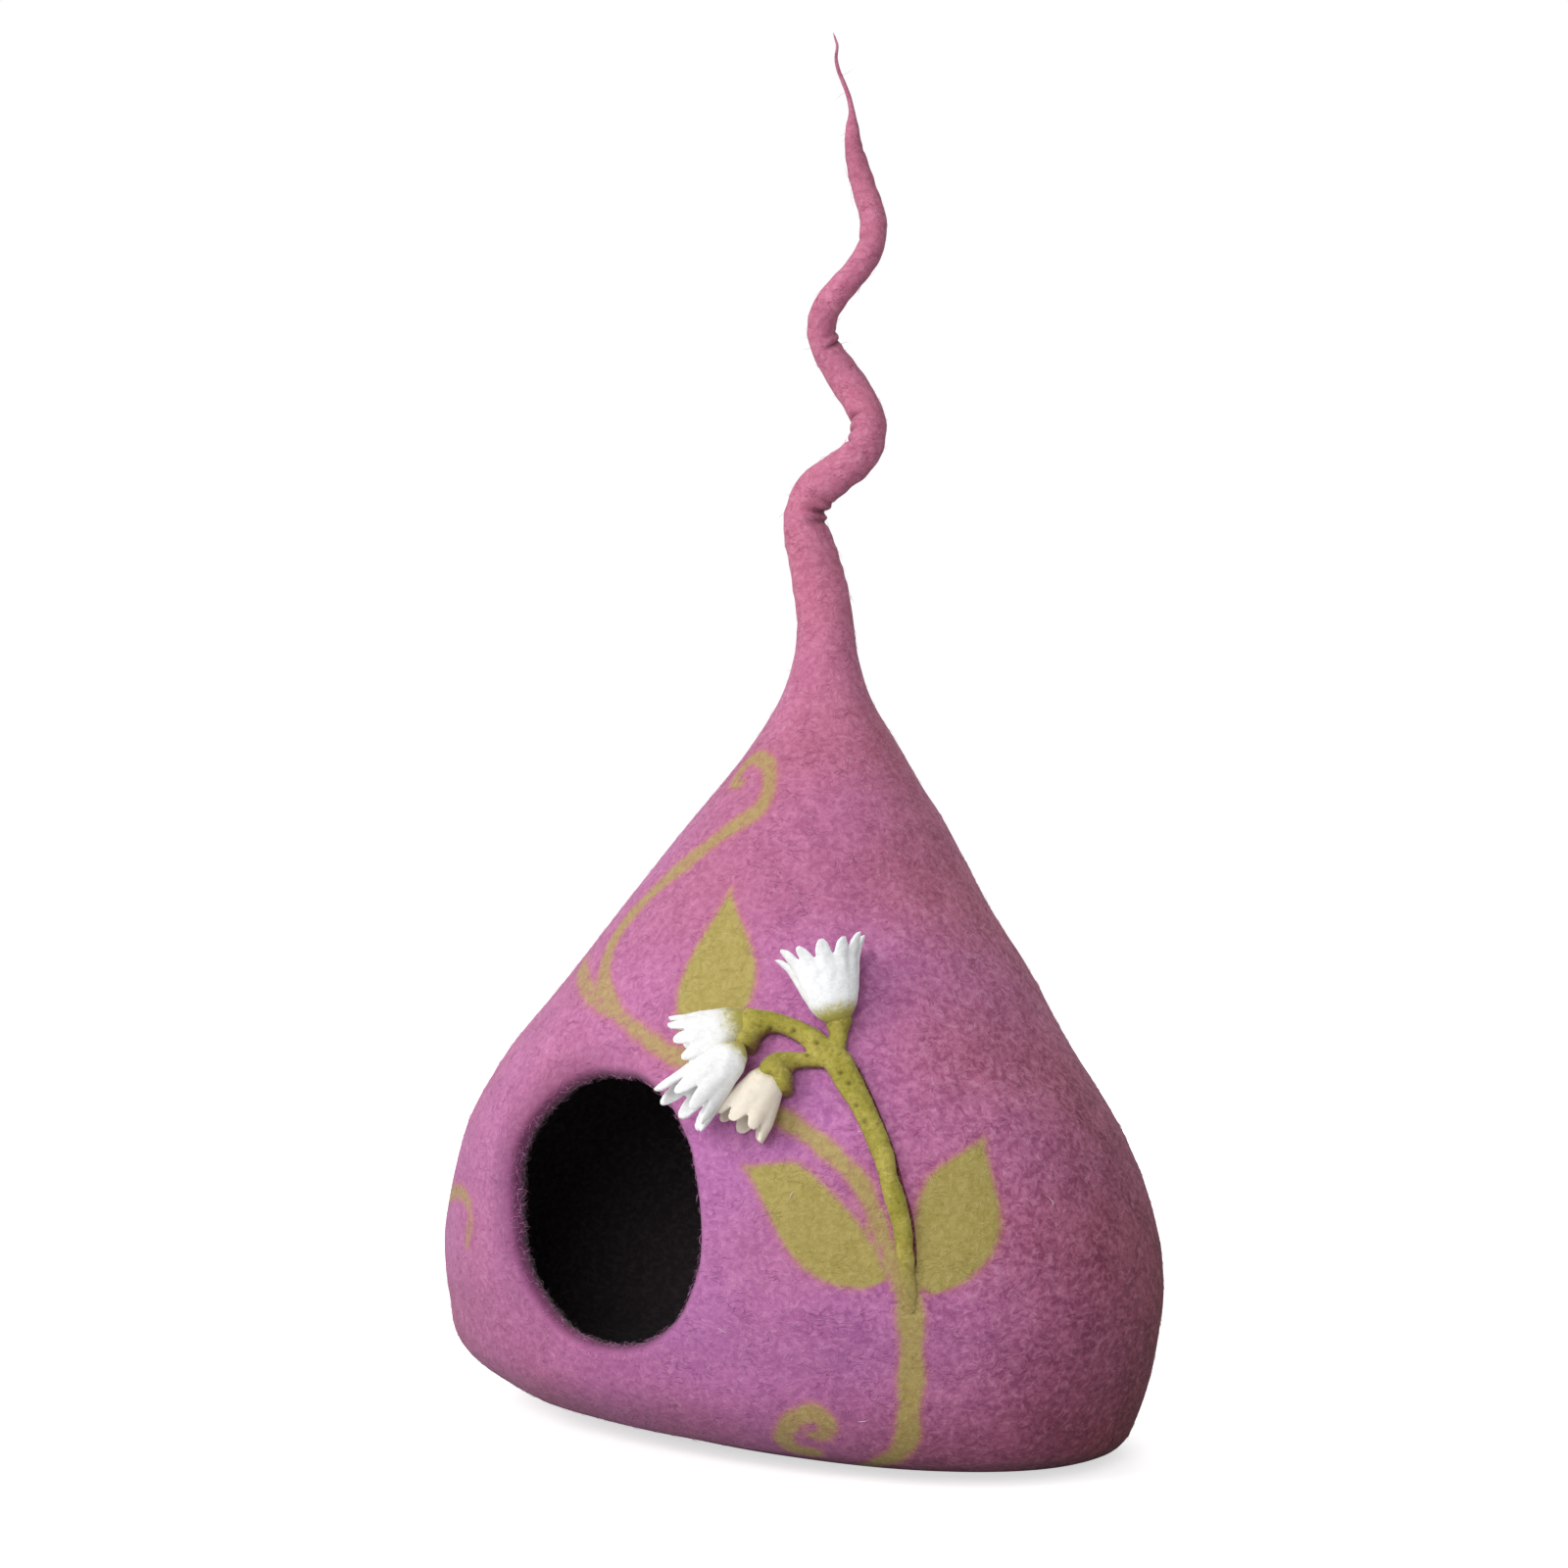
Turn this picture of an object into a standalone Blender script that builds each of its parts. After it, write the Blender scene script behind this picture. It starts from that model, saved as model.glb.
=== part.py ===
"""Felt cat cave, metres, +Z up: a hollow pear-shaped shell of thick wool felt with a round doorway in its
front (-Y) side, drawn up into a solid curling tail, and a raised flower spray felted on beside the doorway.
It stands on its flat underside at z = 0."""
import functools
import math

import bmesh
import bpy
import numpy as np
from mathutils import Vector

MM = 0.001

# ---- driving sizes ----
WALL = 12 * MM                # felt thickness of walls and floor
LIP_RADIUS = 7.5 * MM         # the felt thickens into a rounded roll round the doorway
DOOR_ACROSS = -96.5           # doorway centre, degrees round from +X seen from above
DOOR_HALF_ANGLE = 29.0        # half-width of the roll's centre line, degrees
DOOR_HEIGHT = 160 * MM        # height of the doorway's centre
DOOR_HALF_HEIGHT = 95 * MM    # half-height of the roll's centre line

AROUND = 64                   # facets round the body
TAIL_AROUND = 32              # facets round the tail
DOOR_COLUMNS = 14             # columns of body facets the doorway takes up

# Body sections in millimetres: one row per height, an oval about its own centre.
# height, centre x, half-width x, centre y, half-depth y, roundness (2 is an ellipse)
BODY = np.array((
    (0, 19, 171, 35, 104, 2.2),
    (4, 13, 195, 26, 117, 2.2),
    (10, 5, 212, 20, 128, 2.2),
    (18, -8, 233, 11, 143, 2.2),
    (42, -24, 258, 9, 163, 2.2),
    (75, -24, 267, 7, 166, 2.2),
    (110, -21, 269, 4, 170, 2.2),
    (150, -17, 261, -1, 171, 2.2),
    (200, -15, 238, -5, 171, 2.2),
    (250, -13, 203, -7, 155, 2.2),
    (300, -6, 163, -4, 133, 2.2),
    (350, -2, 127, -2, 110, 2.1),
    (400, 3, 90, 2, 83, 2.1),
    (445, 7, 58, 5, 55, 2.0),
    (485, 8, 33, 7, 32, 2.0),
    (515, 8, 22, 8, 22, 2.0),
    (540, 8, 18.8, 7, 18.8, 2.0),
), dtype=float)

# Tail in millimetres: centre line and radius, from the neck up to the tip.
TAIL = np.array((
    # x, y, z, radius
    (8, 7, 540, 18.8),
    (6, 5, 561, 18.1),
    (2, 2, 581, 16.8),
    (-2.5, -0.5, 598, 15.6),
    (-1.5, -1, 614, 14.8),
    (6, 0.5, 628, 14.1),
    (19.5, 4, 638, 13.5),
    (31, 10, 647.5, 13.0),
    (35, 17.5, 661, 12.5),
    (30, 24, 676.5, 12.2),
    (20, 26, 692.5, 11.8),
    (10, 23, 708, 11.4),
    (4, 16, 722, 10.7),
    (3, 9.5, 735.5, 10.0),
    (8.5, 5.5, 748, 9.5),
    (18.5, 6, 759.5, 9.3),
    (28.5, 10.5, 771, 9.2),
    (34.5, 17.5, 784, 9.2),
    (34.5, 25, 800, 9.1),
    (30, 29, 817, 8.8),
    (24.5, 28, 833, 8.3),
    (22, 24, 848, 7.4),
    (21.5, 20, 862, 5.9),
    (21, 17.5, 876, 4.3),
    (19.5, 16, 889.5, 3.0),
    (16.5, 14.5, 903, 2.2),
    (14, 12.5, 917, 1.7),
    (12, 11, 930, 1.2),
), dtype=float)
TAIL_TIP = Vector((11 * MM, 10.5 * MM, 937 * MM))

# Raised green stem and its four branches: direction in degrees, height, half-width, thickness (mm).
STEM = (
    (-33.6, 136, 4.5, 3.5),
    (-33.5, 152, 7.0, 8.5),
    (-33.8, 170, 8.2, 11.0),
    (-34.6, 188, 8.0, 11.5),
    (-35.3, 205, 7.8, 12.0),
    (-36.5, 222, 8.6, 12.5),
    (-38.2, 238, 10.2, 13.0),
    (-40.3, 252, 11.6, 13.5),
    (-42.8, 263, 10.5, 13.0),
    (-45.2, 269, 7.0, 9.0),
)
LONG_BRANCH = (
    (-42.0, 257, 7.0, 9.0),
    (-45.2, 267, 10.0, 12.5),
    (-49.0, 275, 9.5, 12.5),
    (-53.2, 280, 8.8, 12.0),
    (-57.2, 283, 8.5, 12.5),
    (-60.2, 283, 8.5, 14.0),
    (-62.2, 282, 6.5, 11.0),
)
FORK = (
    (-57.6, 283, 5.5, 10.0),
    (-58.9, 277.5, 7.5, 16.0),
    (-59.8, 272, 7.5, 20.0),
    (-60.2, 269, 5.5, 18.0),
)
SHORT_BRANCH = (
    (-42.5, 260, 4.0, 8.0),
    (-45.5, 262, 6.0, 11.0),
    (-48.8, 262.5, 7.0, 12.0),
    (-51.2, 260.5, 9.5, 15.0),
    (-52.6, 257.5, 10.5, 17.0),
    (-53.5, 254.5, 8.5, 15.0),
)
TOP_BRANCH = (
    (-42.6, 262, 6.0, 9.0),
    (-41.5, 268, 7.8, 11.0),
    (-41.2, 274, 7.6, 11.5),
    (-41.4, 279, 8.4, 13.5),
    (-41.6, 282.5, 6.4, 11.0),
)
STEM_GAP = 0.5 * MM           # clear gap between the raised work and the shell

# Felt bells: base direction and height on the skin, stand-off from it, the way they point round in the
# skin's plane (0 is right, 90 is up), tilt outwards, length, mouth half-width over length, turn about the axis.
BELLS = (
    # name, direction, height, stand-off, bearing, tilt, length, width, roll
    ("bell_top", -41.9, 284, 10, 104, 12, 50, 0.56, 10),
    ("bell_left", -63.2, 281.5, 9, 207, 6, 46, 0.52, 40),
    ("bell_middle", -60.7, 266, 18, 243, 17, 59, 0.41, 15),
    ("bell_lower", -54.3, 253, 10.5, 256, 5, 48, 0.48, 0),
)
BELL_LOBES = 6
BELL_THICK = 2.6 * MM
BELL_FLAT = 0.72              # depth of a bell over its width

# along the bell (0 base, 1 rim), half-width over that of the mouth
BELL_PROFILE = (
    (0.00, 0.11),
    (0.03, 0.21),
    (0.10, 0.33),
    (0.25, 0.48),
    (0.45, 0.63),
    (0.65, 0.75),
    (0.85, 0.88),
    (1.00, 1.00),
)


# ---- shared helpers ----
def along(rows, step):
    """Smooth curve through the rows of a table, step counted in rows."""
    last = len(rows) - 1
    start = min(max(int(math.floor(step)), 0), last - 1)
    part = step - start
    second, third = rows[start], rows[start + 1]
    first = rows[start - 1] if start > 0 else 2 * second - third
    fourth = rows[start + 2] if start + 2 <= last else 2 * third - second
    bend = 2 * first - 5 * second + 4 * third - fourth + part * (3 * (second - third) + fourth - first)
    return second + 0.5 * part * (third - first + part * bend)


@functools.lru_cache(maxsize=None)
def section(height):
    """Row of the body table at a height, found by halving."""
    low, high = 0.0, len(BODY) - 1.0
    for _ in range(30):
        middle = 0.5 * (low + high)
        if along(BODY, middle)[0] * MM < height:
            low = middle
        else:
            high = middle
    return along(BODY, 0.5 * (low + high))


def skin(direction, height):
    """Point of the outer surface, looking out from the section's centre in a direction (radians)."""
    row = section(height)
    cos, sin = math.cos(direction), math.sin(direction)
    power = row[5]
    reach = (abs(cos / row[2]) ** power + abs(sin / row[4]) ** power) ** (-1 / power)
    return Vector(((row[1] + reach * cos) * MM, (row[3] + reach * sin) * MM, height))


def outward(direction, height):
    """Outward direction of the outer surface there."""
    side, rise = 0.002, 0.4 * MM
    low = max(height - rise, 0.0)
    across = skin(direction + side, height) - skin(direction - side, height)
    up = skin(direction, height + rise) - skin(direction, low)
    return across.cross(up).normalized()


def wall_at(height):
    """Felt thickness: even up the wall, then growing until the neck is solid."""
    above = max(height - 420 * MM, 0.0)
    return WALL + 3.6 * above * above


def lining(direction, height, thickness):
    """Point of the inner surface behind an outer one."""
    point = skin(direction, height) - outward(direction, height) * thickness
    if height < 1 * MM:
        point.z = WALL
    return point


def new_object(name, mesh, colour, roughness):
    """Object with its own material."""
    material = bpy.data.materials.new(name)
    material.use_nodes = True
    shader = material.node_tree.nodes["Principled BSDF"]
    shader.inputs["Base Color"].default_value = (*colour, 1.0)
    shader.inputs["Roughness"].default_value = roughness
    shader.inputs["Metallic"].default_value = 0.0
    thing = bpy.data.objects.new(name, mesh)
    thing.data.materials.append(material)
    bpy.context.scene.collection.objects.link(thing)
    return thing


def close_mesh(bm, name):
    """Turn faces outward, shade smooth, write to a mesh."""
    bmesh.ops.recalc_face_normals(bm, faces=bm.faces)
    for face in bm.faces:
        face.smooth = True
    mesh = bpy.data.meshes.new(name)
    bm.to_mesh(mesh)
    bm.free()
    return mesh


def band(bm, lower, upper):
    """Quads between two closed loops of the same count."""
    count = len(lower)
    for i in range(count):
        j = (i + 1) % count
        bm.faces.new((lower[i], lower[j], upper[j], upper[i]))


def halving_band(bm, lower, upper):
    """Joins a loop to one with half as many points."""
    count = len(upper)
    for i in range(count):
        j = (i + 1) % count
        bm.faces.new((lower[2 * i], lower[2 * i + 1], upper[i]))
        bm.faces.new((lower[2 * i + 1], lower[(2 * i + 2) % len(lower)], upper[j], upper[i]))


def fan(bm, loop, tip):
    """Triangles from a loop to one point."""
    for i, vertex in enumerate(loop):
        bm.faces.new((vertex, loop[(i + 1) % len(loop)], tip))


# ---- shell: body, doorway, neck and tail in one seamless piece ----
FOOT_LEVELS = (0, 2, 5, 9, 14, 21, 31, 44)
DOOR_LEVELS = (44, 68, 92, 116, 140, 164, 188, 212, 236, 260, 284)
UPPER_LEVELS = (284, 306, 328, 350, 372, 394, 414, 432)
NECK_LEVELS = (448, 462, 475, 488)
SLIM_LEVELS = (500, 512, 526)
LINING_TOP = (445, 458, 469)
FIRST_DIRECTION = DOOR_ACROSS - 0.5 * DOOR_COLUMNS * 360 / AROUND


def direction_of(column):
    """Direction of a column of facets; the doorway starts at column 0."""
    return math.radians(FIRST_DIRECTION + column * 360 / AROUND)


def door_spot(turn, grow):
    """Direction and height on the doorway's oval, grown outwards by a length."""
    front_radius = 163 * MM
    half_angle = math.radians(DOOR_HALF_ANGLE) + grow / front_radius
    half_height = DOOR_HALF_HEIGHT + grow
    return math.radians(DOOR_ACROSS) + half_angle * math.cos(turn), DOOR_HEIGHT + half_height * math.sin(turn)


def door_frame():
    """Grid spots round the edge of the doorway's patch, in order, with their turn about its centre."""
    rows = len(DOOR_LEVELS) - 1
    spots = [(column, 0) for column in range(DOOR_COLUMNS)]
    spots += [(DOOR_COLUMNS, row) for row in range(rows)]
    spots += [(column, rows) for column in range(DOOR_COLUMNS, 0, -1)]
    spots += [(0, row) for row in range(rows, 0, -1)]
    return spots


def shell_side(bm, place, heights):
    """Rings of points for one side of the wall; inside the doorway's patch none are made."""
    rings = {}
    for height in heights:
        ring = []
        for column in range(AROUND):
            hidden = 0 < column < DOOR_COLUMNS and DOOR_LEVELS[0] < height < DOOR_LEVELS[-1]
            ring.append(None if hidden else bm.verts.new(place(direction_of(column), height * MM)))
        rings[height] = ring
    for low, high in zip(heights, heights[1:]):
        for column in range(AROUND):
            after = (column + 1) % AROUND
            if column < DOOR_COLUMNS and DOOR_LEVELS[0] <= low < DOOR_LEVELS[-1]:
                continue
            corners = (rings[low][column], rings[low][after], rings[high][after], rings[high][column])
            bm.faces.new(corners)
    return rings


def door_loops(bm, rings, place):
    """Loops that turn the patch's square edge into the doorway's oval on one side of the wall."""
    spots = door_frame()
    edge = [rings[DOOR_LEVELS[row]][column] for column, row in spots]
    turns = []
    for column, row in spots:
        across = (direction_of(column) - math.radians(DOOR_ACROSS)) / math.radians(DOOR_HALF_ANGLE)
        rise = (DOOR_LEVELS[row] * MM - DOOR_HEIGHT) / DOOR_HALF_HEIGHT
        turns.append(math.atan2(rise, across))
    loop = edge
    for share in (0.4, 0.75, 1.0):
        following = []
        for (column, row), turn in zip(spots, turns):
            oval = door_spot(turn, 0)
            direction = direction_of(column) * (1 - share) + oval[0] * share
            height = DOOR_LEVELS[row] * MM * (1 - share) + oval[1] * share
            following.append(bm.verts.new(place(direction, height, share)))
        band(bm, loop, following)
        loop = following
    return loop, turns


def shell():
    bm = bmesh.new()
    heights = FOOT_LEVELS + DOOR_LEVELS[1:] + UPPER_LEVELS[1:]
    outer = shell_side(bm, skin, heights + NECK_LEVELS)
    inner = shell_side(bm, lambda turn, height: lining(turn, height, wall_at(height)), heights + LINING_TOP)

    bm.faces.new(outer[0])
    bm.faces.new(inner[0])

    # the hollow closes under the solid neck
    top = inner[LINING_TOP[-1]]
    crown = sum((vertex.co for vertex in top), Vector()) / AROUND
    fan(bm, top, bm.verts.new(crown + Vector((0, 0, 6 * MM))))

    # doorway: both sides lead to an oval, joined by the rounded roll
    def on_outer(direction, height, share):
        return skin(direction, height)

    def on_inner(direction, height, share):
        return lining(direction, height, WALL + (2 * LIP_RADIUS - WALL) * share * share)

    outer_loop, turns = door_loops(bm, outer, on_outer)
    inner_loop, _ = door_loops(bm, inner, on_inner)
    loop = outer_loop
    steps = 7
    for step in range(1, steps):
        swing = math.pi * step / steps
        following = []
        for turn in turns:
            direction, height = door_spot(turn, 0)
            wider = Vector(skin(*door_spot(turn, 4 * MM)))
            face = outward(direction, height)
            away = wider - skin(direction, height)
            away = (away - face * away.dot(face)).normalized()
            middle = skin(direction, height) - face * LIP_RADIUS
            offset = face * math.cos(swing) - away * math.sin(swing)
            following.append(bm.verts.new(middle + offset * LIP_RADIUS))
        band(bm, loop, following)
        loop = following
    band(bm, loop, inner_loop)

    # neck and tail: half as many facets round
    ring = outer[NECK_LEVELS[-1]]
    for level in SLIM_LEVELS:
        points = [skin(direction_of(2 * column), level * MM) for column in range(TAIL_AROUND)]
        following = [bm.verts.new(point) for point in points]
        if len(ring) == AROUND:
            halving_band(bm, ring, following)
        else:
            band(bm, ring, following)
        ring = following
    side = Vector((math.cos(direction_of(0)), math.sin(direction_of(0)), 0))
    rings_per_row = 2
    count = (len(TAIL) - 1) * rings_per_row
    for step in range(count + 1):
        row = along(TAIL, step / rings_per_row)
        ahead = along(TAIL, min(step / rings_per_row + 0.1, len(TAIL) - 1))
        behind = along(TAIL, max(step / rings_per_row - 0.1, 0))
        forward = Vector((ahead - behind)[:3]).normalized()
        if step == 0:
            forward = Vector((0, 0, 1))
        side = (side - forward * side.dot(forward)).normalized()
        cross = forward.cross(side)
        centre = Vector(row[:3]) * MM
        following = []
        for column in range(TAIL_AROUND):
            turn = 2 * math.pi * column / TAIL_AROUND
            spoke = side * math.cos(turn) + cross * math.sin(turn)
            following.append(bm.verts.new(centre + spoke * row[3] * MM))
        band(bm, ring, following)
        ring = following
    fan(bm, ring, bm.verts.new(TAIL_TIP))

    return new_object("shell", close_mesh(bm, "shell"), (0.42, 0.13, 0.30), 0.95)


# ---- raised green stem, one piece with its branches, lying on the shell ----
STRAND_AROUND = 12
STRAND_STEPS = 3


def strand(rows, lift):
    """Closed strand over the skin: each ring is a low arch standing just off the shell."""
    table = np.array(rows, dtype=float)
    bm = bmesh.new()
    count = (len(table) - 1) * STRAND_STEPS
    loop = None
    ends = []
    for step in range(count + 1):
        place = step / STRAND_STEPS
        direction, height, half_width, thick = along(table, place)
        ahead = along(table, min(place + 0.1, len(table) - 1))
        behind = along(table, max(place - 0.1, 0))
        turn, level = math.radians(direction), height * MM
        point, face = skin(turn, level), outward(turn, level)
        forward = skin(math.radians(ahead[0]), ahead[1] * MM) - skin(math.radians(behind[0]), behind[1] * MM)
        across = face.cross(forward).normalized()
        following = []
        for i in range(STRAND_AROUND):
            swing = 2 * math.pi * i / STRAND_AROUND
            sideways = across * math.cos(swing) * half_width * MM
            rise = STEM_GAP + lift + thick * MM * (0.5 + 0.5 * math.sin(swing))
            following.append(bm.verts.new(point + sideways + face * rise))
        if loop:
            band(bm, loop, following)
        loop = following
        ends.append(loop)
    bm.faces.new(ends[0])
    bm.faces.new(ends[-1])
    return close_mesh(bm, "strand")


def stem():
    """The branches are joined to the main strand."""
    base = new_object("stem", strand(STEM, 0), (0.36, 0.33, 0.08), 0.95)
    for number, rows in enumerate((LONG_BRANCH, FORK, SHORT_BRANCH, TOP_BRANCH)):
        mesh = strand(rows, (number + 1) * 0.2 * MM)
        branch = bpy.data.objects.new(f"branch_{number}", mesh)
        bpy.context.scene.collection.objects.link(branch)
        branch.hide_render = True
        branch.display_type = "WIRE"
        join = base.modifiers.new(f"join_{number}", "BOOLEAN")
        join.operation = "UNION"
        join.solver = "EXACT"
        join.object = branch
    return base


# ---- felt bells ----
BELL_AROUND = 36
LOBE_SHARE = 0.27             # depth of the notches between lobes over the bell's length


def bell(name, direction, height, stand_off, bearing, tilt, length, width, roll):
    """Thin felt cup whose rim is cut into pointed lobes."""
    spot, level = math.radians(direction), height * MM
    face = outward(spot, level)
    right = Vector((0, 0, 1)).cross(face).normalized()
    up = face.cross(right)
    heading, lean = math.radians(bearing), math.radians(tilt)
    flat_aim = right * math.cos(heading) + up * math.sin(heading)
    axis = flat_aim * math.cos(lean) + face * math.sin(lean)
    broad = face.cross(flat_aim).normalized()
    deep = axis.cross(broad)
    base = skin(spot, level) + face * stand_off * MM
    profile = np.array(BELL_PROFILE)

    def ring(bm, place, inset):
        loop = []
        for i in range(BELL_AROUND):
            angle = 2 * math.pi * i / BELL_AROUND
            peak = 0.5 + 0.5 * math.cos(BELL_LOBES * angle)
            reach = 1 - LOBE_SHARE * (1 - peak ** 0.8)
            step = float(np.interp(place * reach, profile[:, 0], np.arange(len(profile))))
            share, half = along(profile, step)
            half = max(half * width * length * MM - inset, 0.6 * MM)
            swing = angle + math.radians(roll)
            offset = broad * math.cos(swing) * half + deep * math.sin(swing) * half * BELL_FLAT
            loop.append(bm.verts.new(base + axis * share * length * MM + offset))
        return loop

    bm = bmesh.new()
    outer = [ring(bm, place, 0) for place in (0, 0.03, 0.1, 0.25, 0.42, 0.6, 0.8, 1.0)]
    inner = [ring(bm, place, BELL_THICK) for place in (0.97, 0.8, 0.6, 0.4, 0.22)]
    loops = outer + inner
    for lower, upper in zip(loops, loops[1:]):
        band(bm, lower, upper)
    bm.faces.new(loops[0])
    bm.faces.new(loops[-1])
    return new_object(name, close_mesh(bm, name), (0.86, 0.86, 0.82), 0.9)


def clear_scene():
    for thing in list(bpy.data.objects):
        bpy.data.objects.remove(thing, do_unlink=True)


clear_scene()
shell()
stem()
for row in BELLS:
    bell(*row)
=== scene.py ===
"""Felt cat cave: a hollow of thick orchid wool felt drawn up into a curling tail, with green leaves and
tendrils felted into its surface, and a raised green stem carrying four white felt bells by the doorway."""
import math

import bpy
import numpy as np
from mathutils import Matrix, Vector


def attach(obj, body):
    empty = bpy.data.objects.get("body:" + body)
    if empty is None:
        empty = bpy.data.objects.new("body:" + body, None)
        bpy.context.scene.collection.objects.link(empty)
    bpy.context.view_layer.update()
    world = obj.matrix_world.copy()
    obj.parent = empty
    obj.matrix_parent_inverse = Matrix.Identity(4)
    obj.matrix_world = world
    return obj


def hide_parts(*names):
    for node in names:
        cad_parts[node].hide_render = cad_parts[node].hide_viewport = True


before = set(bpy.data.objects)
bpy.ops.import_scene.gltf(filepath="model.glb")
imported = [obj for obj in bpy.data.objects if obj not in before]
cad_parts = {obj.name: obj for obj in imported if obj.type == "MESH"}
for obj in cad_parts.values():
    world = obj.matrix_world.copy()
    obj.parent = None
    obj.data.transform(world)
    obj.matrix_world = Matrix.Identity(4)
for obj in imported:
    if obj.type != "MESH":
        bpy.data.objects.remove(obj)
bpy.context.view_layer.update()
scene = bpy.context.scene


# ---- Camera: level with the middle of the body, to the right of the doorway ----
def set_up(name, data, place, target):
    """Puts a camera or a lamp at a place, pointed at a target."""
    thing = bpy.data.objects.new(name, data)
    thing.location = place
    thing.rotation_euler = (Vector(target) - thing.location).to_track_quat("-Z", "Y").to_euler()
    scene.collection.objects.link(thing)
    return thing


lens = bpy.data.cameras.new("camera")
lens.lens = 65
lens.sensor_width = 36
scene.camera = set_up("camera", lens, (1.1698, -1.4972, 0.422), (-0.022, 0.0, 0.431))
scene.view_settings.view_transform = "Standard"


# ---- Studio: a plain pale floor under an even white surround; large soft lights from the left, from the
# front and, weaker, from behind ----
def maths(operation, swapped=False):
    """An operator that adds a Math node."""
    def work_out(self, other):
        first, second = (other, self) if swapped else (self, other)
        return self.node("Math", {"operation": operation}, {0: first, 1: second})
    return work_out


class Wire:
    """A socket in a material. Arithmetic on it adds Math nodes, and node() adds any other node."""
    __add__ = __radd__ = maths("ADD")
    __sub__ = maths("SUBTRACT")
    __rsub__ = maths("SUBTRACT", swapped=True)
    __mul__ = __rmul__ = maths("MULTIPLY")

    def __init__(self, tree, socket=None):
        self.tree, self.socket = tree, socket

    def node(self, kind, settings=None, inputs=None, output=0):
        """Adds a node: its settings first, then the values or wires of its sockets."""
        made = self.tree.nodes.new("ShaderNode" + kind)
        for name, value in (settings or {}).items():
            setattr(made, name, value)
        for name, value in (inputs or {}).items():
            if isinstance(value, Wire):
                self.tree.links.new(value.socket, made.inputs[name])
            else:
                made.inputs[name].default_value = value
        return Wire(self.tree, made.outputs[output])

    def into(self, shader, socket):
        """Feeds one of a shader's sockets."""
        self.tree.links.new(self.socket, shader.inputs[socket])

    def ramp(self, low, high, to_low=0.0, to_high=1.0):
        """Smooth step from one value to another as the wire goes from low to high."""
        settings = {"interpolation_type": "SMOOTHSTEP"}
        return self.node("MapRange", settings, {0: self, 1: low, 2: high, 3: to_low, 4: to_high})

    def paint(self, under, over):
        """Colour under, with colour over it as far as the wire says."""
        return self.node("Mix", {"data_type": "RGBA"}, {0: self, 6: under, 7: over}, 2)


def new_material(name, sockets):
    """Empty material, its node tree as a Wire, and its Principled shader with some sockets set."""
    material = bpy.data.materials.new(name)
    material.use_nodes = True
    shader = material.node_tree.nodes["Principled BSDF"]
    for socket, value in sockets.items():
        shader.inputs[socket].default_value = value
    return material, Wire(material.node_tree), shader


def place_mesh(name, points, faces, facts, material):
    """Mesh object from points and lists of faces, with one float attribute for each fact."""
    mesh = bpy.data.meshes.new(name)
    corners = np.concatenate([block.ravel() for block in faces])
    sizes = np.concatenate([np.full(len(block), block.shape[1]) for block in faces])
    mesh.vertices.add(len(points))
    mesh.vertices.foreach_set("co", np.ascontiguousarray(points, dtype=np.float32).ravel())
    mesh.loops.add(len(corners))
    mesh.loops.foreach_set("vertex_index", corners.astype(np.int32))
    mesh.polygons.add(len(sizes))
    mesh.polygons.foreach_set("loop_start", (np.cumsum(sizes) - sizes).astype(np.int32))
    mesh.shade_smooth()
    mesh.update(calc_edges=True)
    for label, values in facts.items():
        mesh.attributes.new(label, "FLOAT", "POINT").data.foreach_set("value", values.astype(np.float32))
    mesh.validate()
    mesh.materials.append(material)
    thing = bpy.data.objects.new(name, mesh)
    scene.collection.objects.link(thing)
    return thing


def grey(level):
    """A neutral colour."""
    return level, level, level, 1.0


world = bpy.data.worlds.new("surround")
world.use_nodes = True
scene.world = world
sky = Wire(world.node_tree)
background = world.node_tree.nodes["Background"]
background.inputs["Color"].default_value = grey(1.0)
surround_light, surround_seen = 0.47, 1.0      # its strength as light, and as the camera sees it
sky.node("LightPath").ramp(0.0, 1.0, surround_light, surround_seen).into(background, "Strength")

lights = (
    # name, place, width, watts, colour
    ("key", (-0.7, -2.35, 1.5), 1.5, 36, (1.0, 0.99, 0.98)),
    ("front", (1.1, -2.7, 1.35), 1.6, 28, (1.0, 0.99, 1.0)),
    ("back", (-1.5, 2.0, 1.7), 2.2, 30, (1.0, 0.99, 0.99)),
)
for name, place, width, watts, colour in lights:
    lamp = bpy.data.lights.new(name, "AREA")
    lamp.shape = "DISK"
    lamp.size = width
    lamp.energy = watts
    lamp.color = colour
    set_up(name, lamp, place, (0, 0, 0.3))

# the floor as light meets it, and as the camera sees it: paler, so that only a faint shadow is left
floor_paint, tree, shader = new_material("pale_floor", {"Emission Strength": 1.0, "Roughness": 0.9})
seen = tree.node("LightPath")
seen.paint(grey(0.45), grey(0.85)).into(shader, "Base Color")
seen.paint(grey(0.0), grey(0.62)).into(shader, "Emission Color")
floor_half, floor_level = 30.0, -0.0005
floor_signs = np.array(((-1, -1, 1), (1, -1, 1), (1, 1, 1), (-1, 1, 1)))
floor_corners = floor_signs * (floor_half, floor_half, floor_level)
floor = place_mesh("floor", floor_corners, [np.arange(4)[None]], {}, floor_paint)


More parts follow.
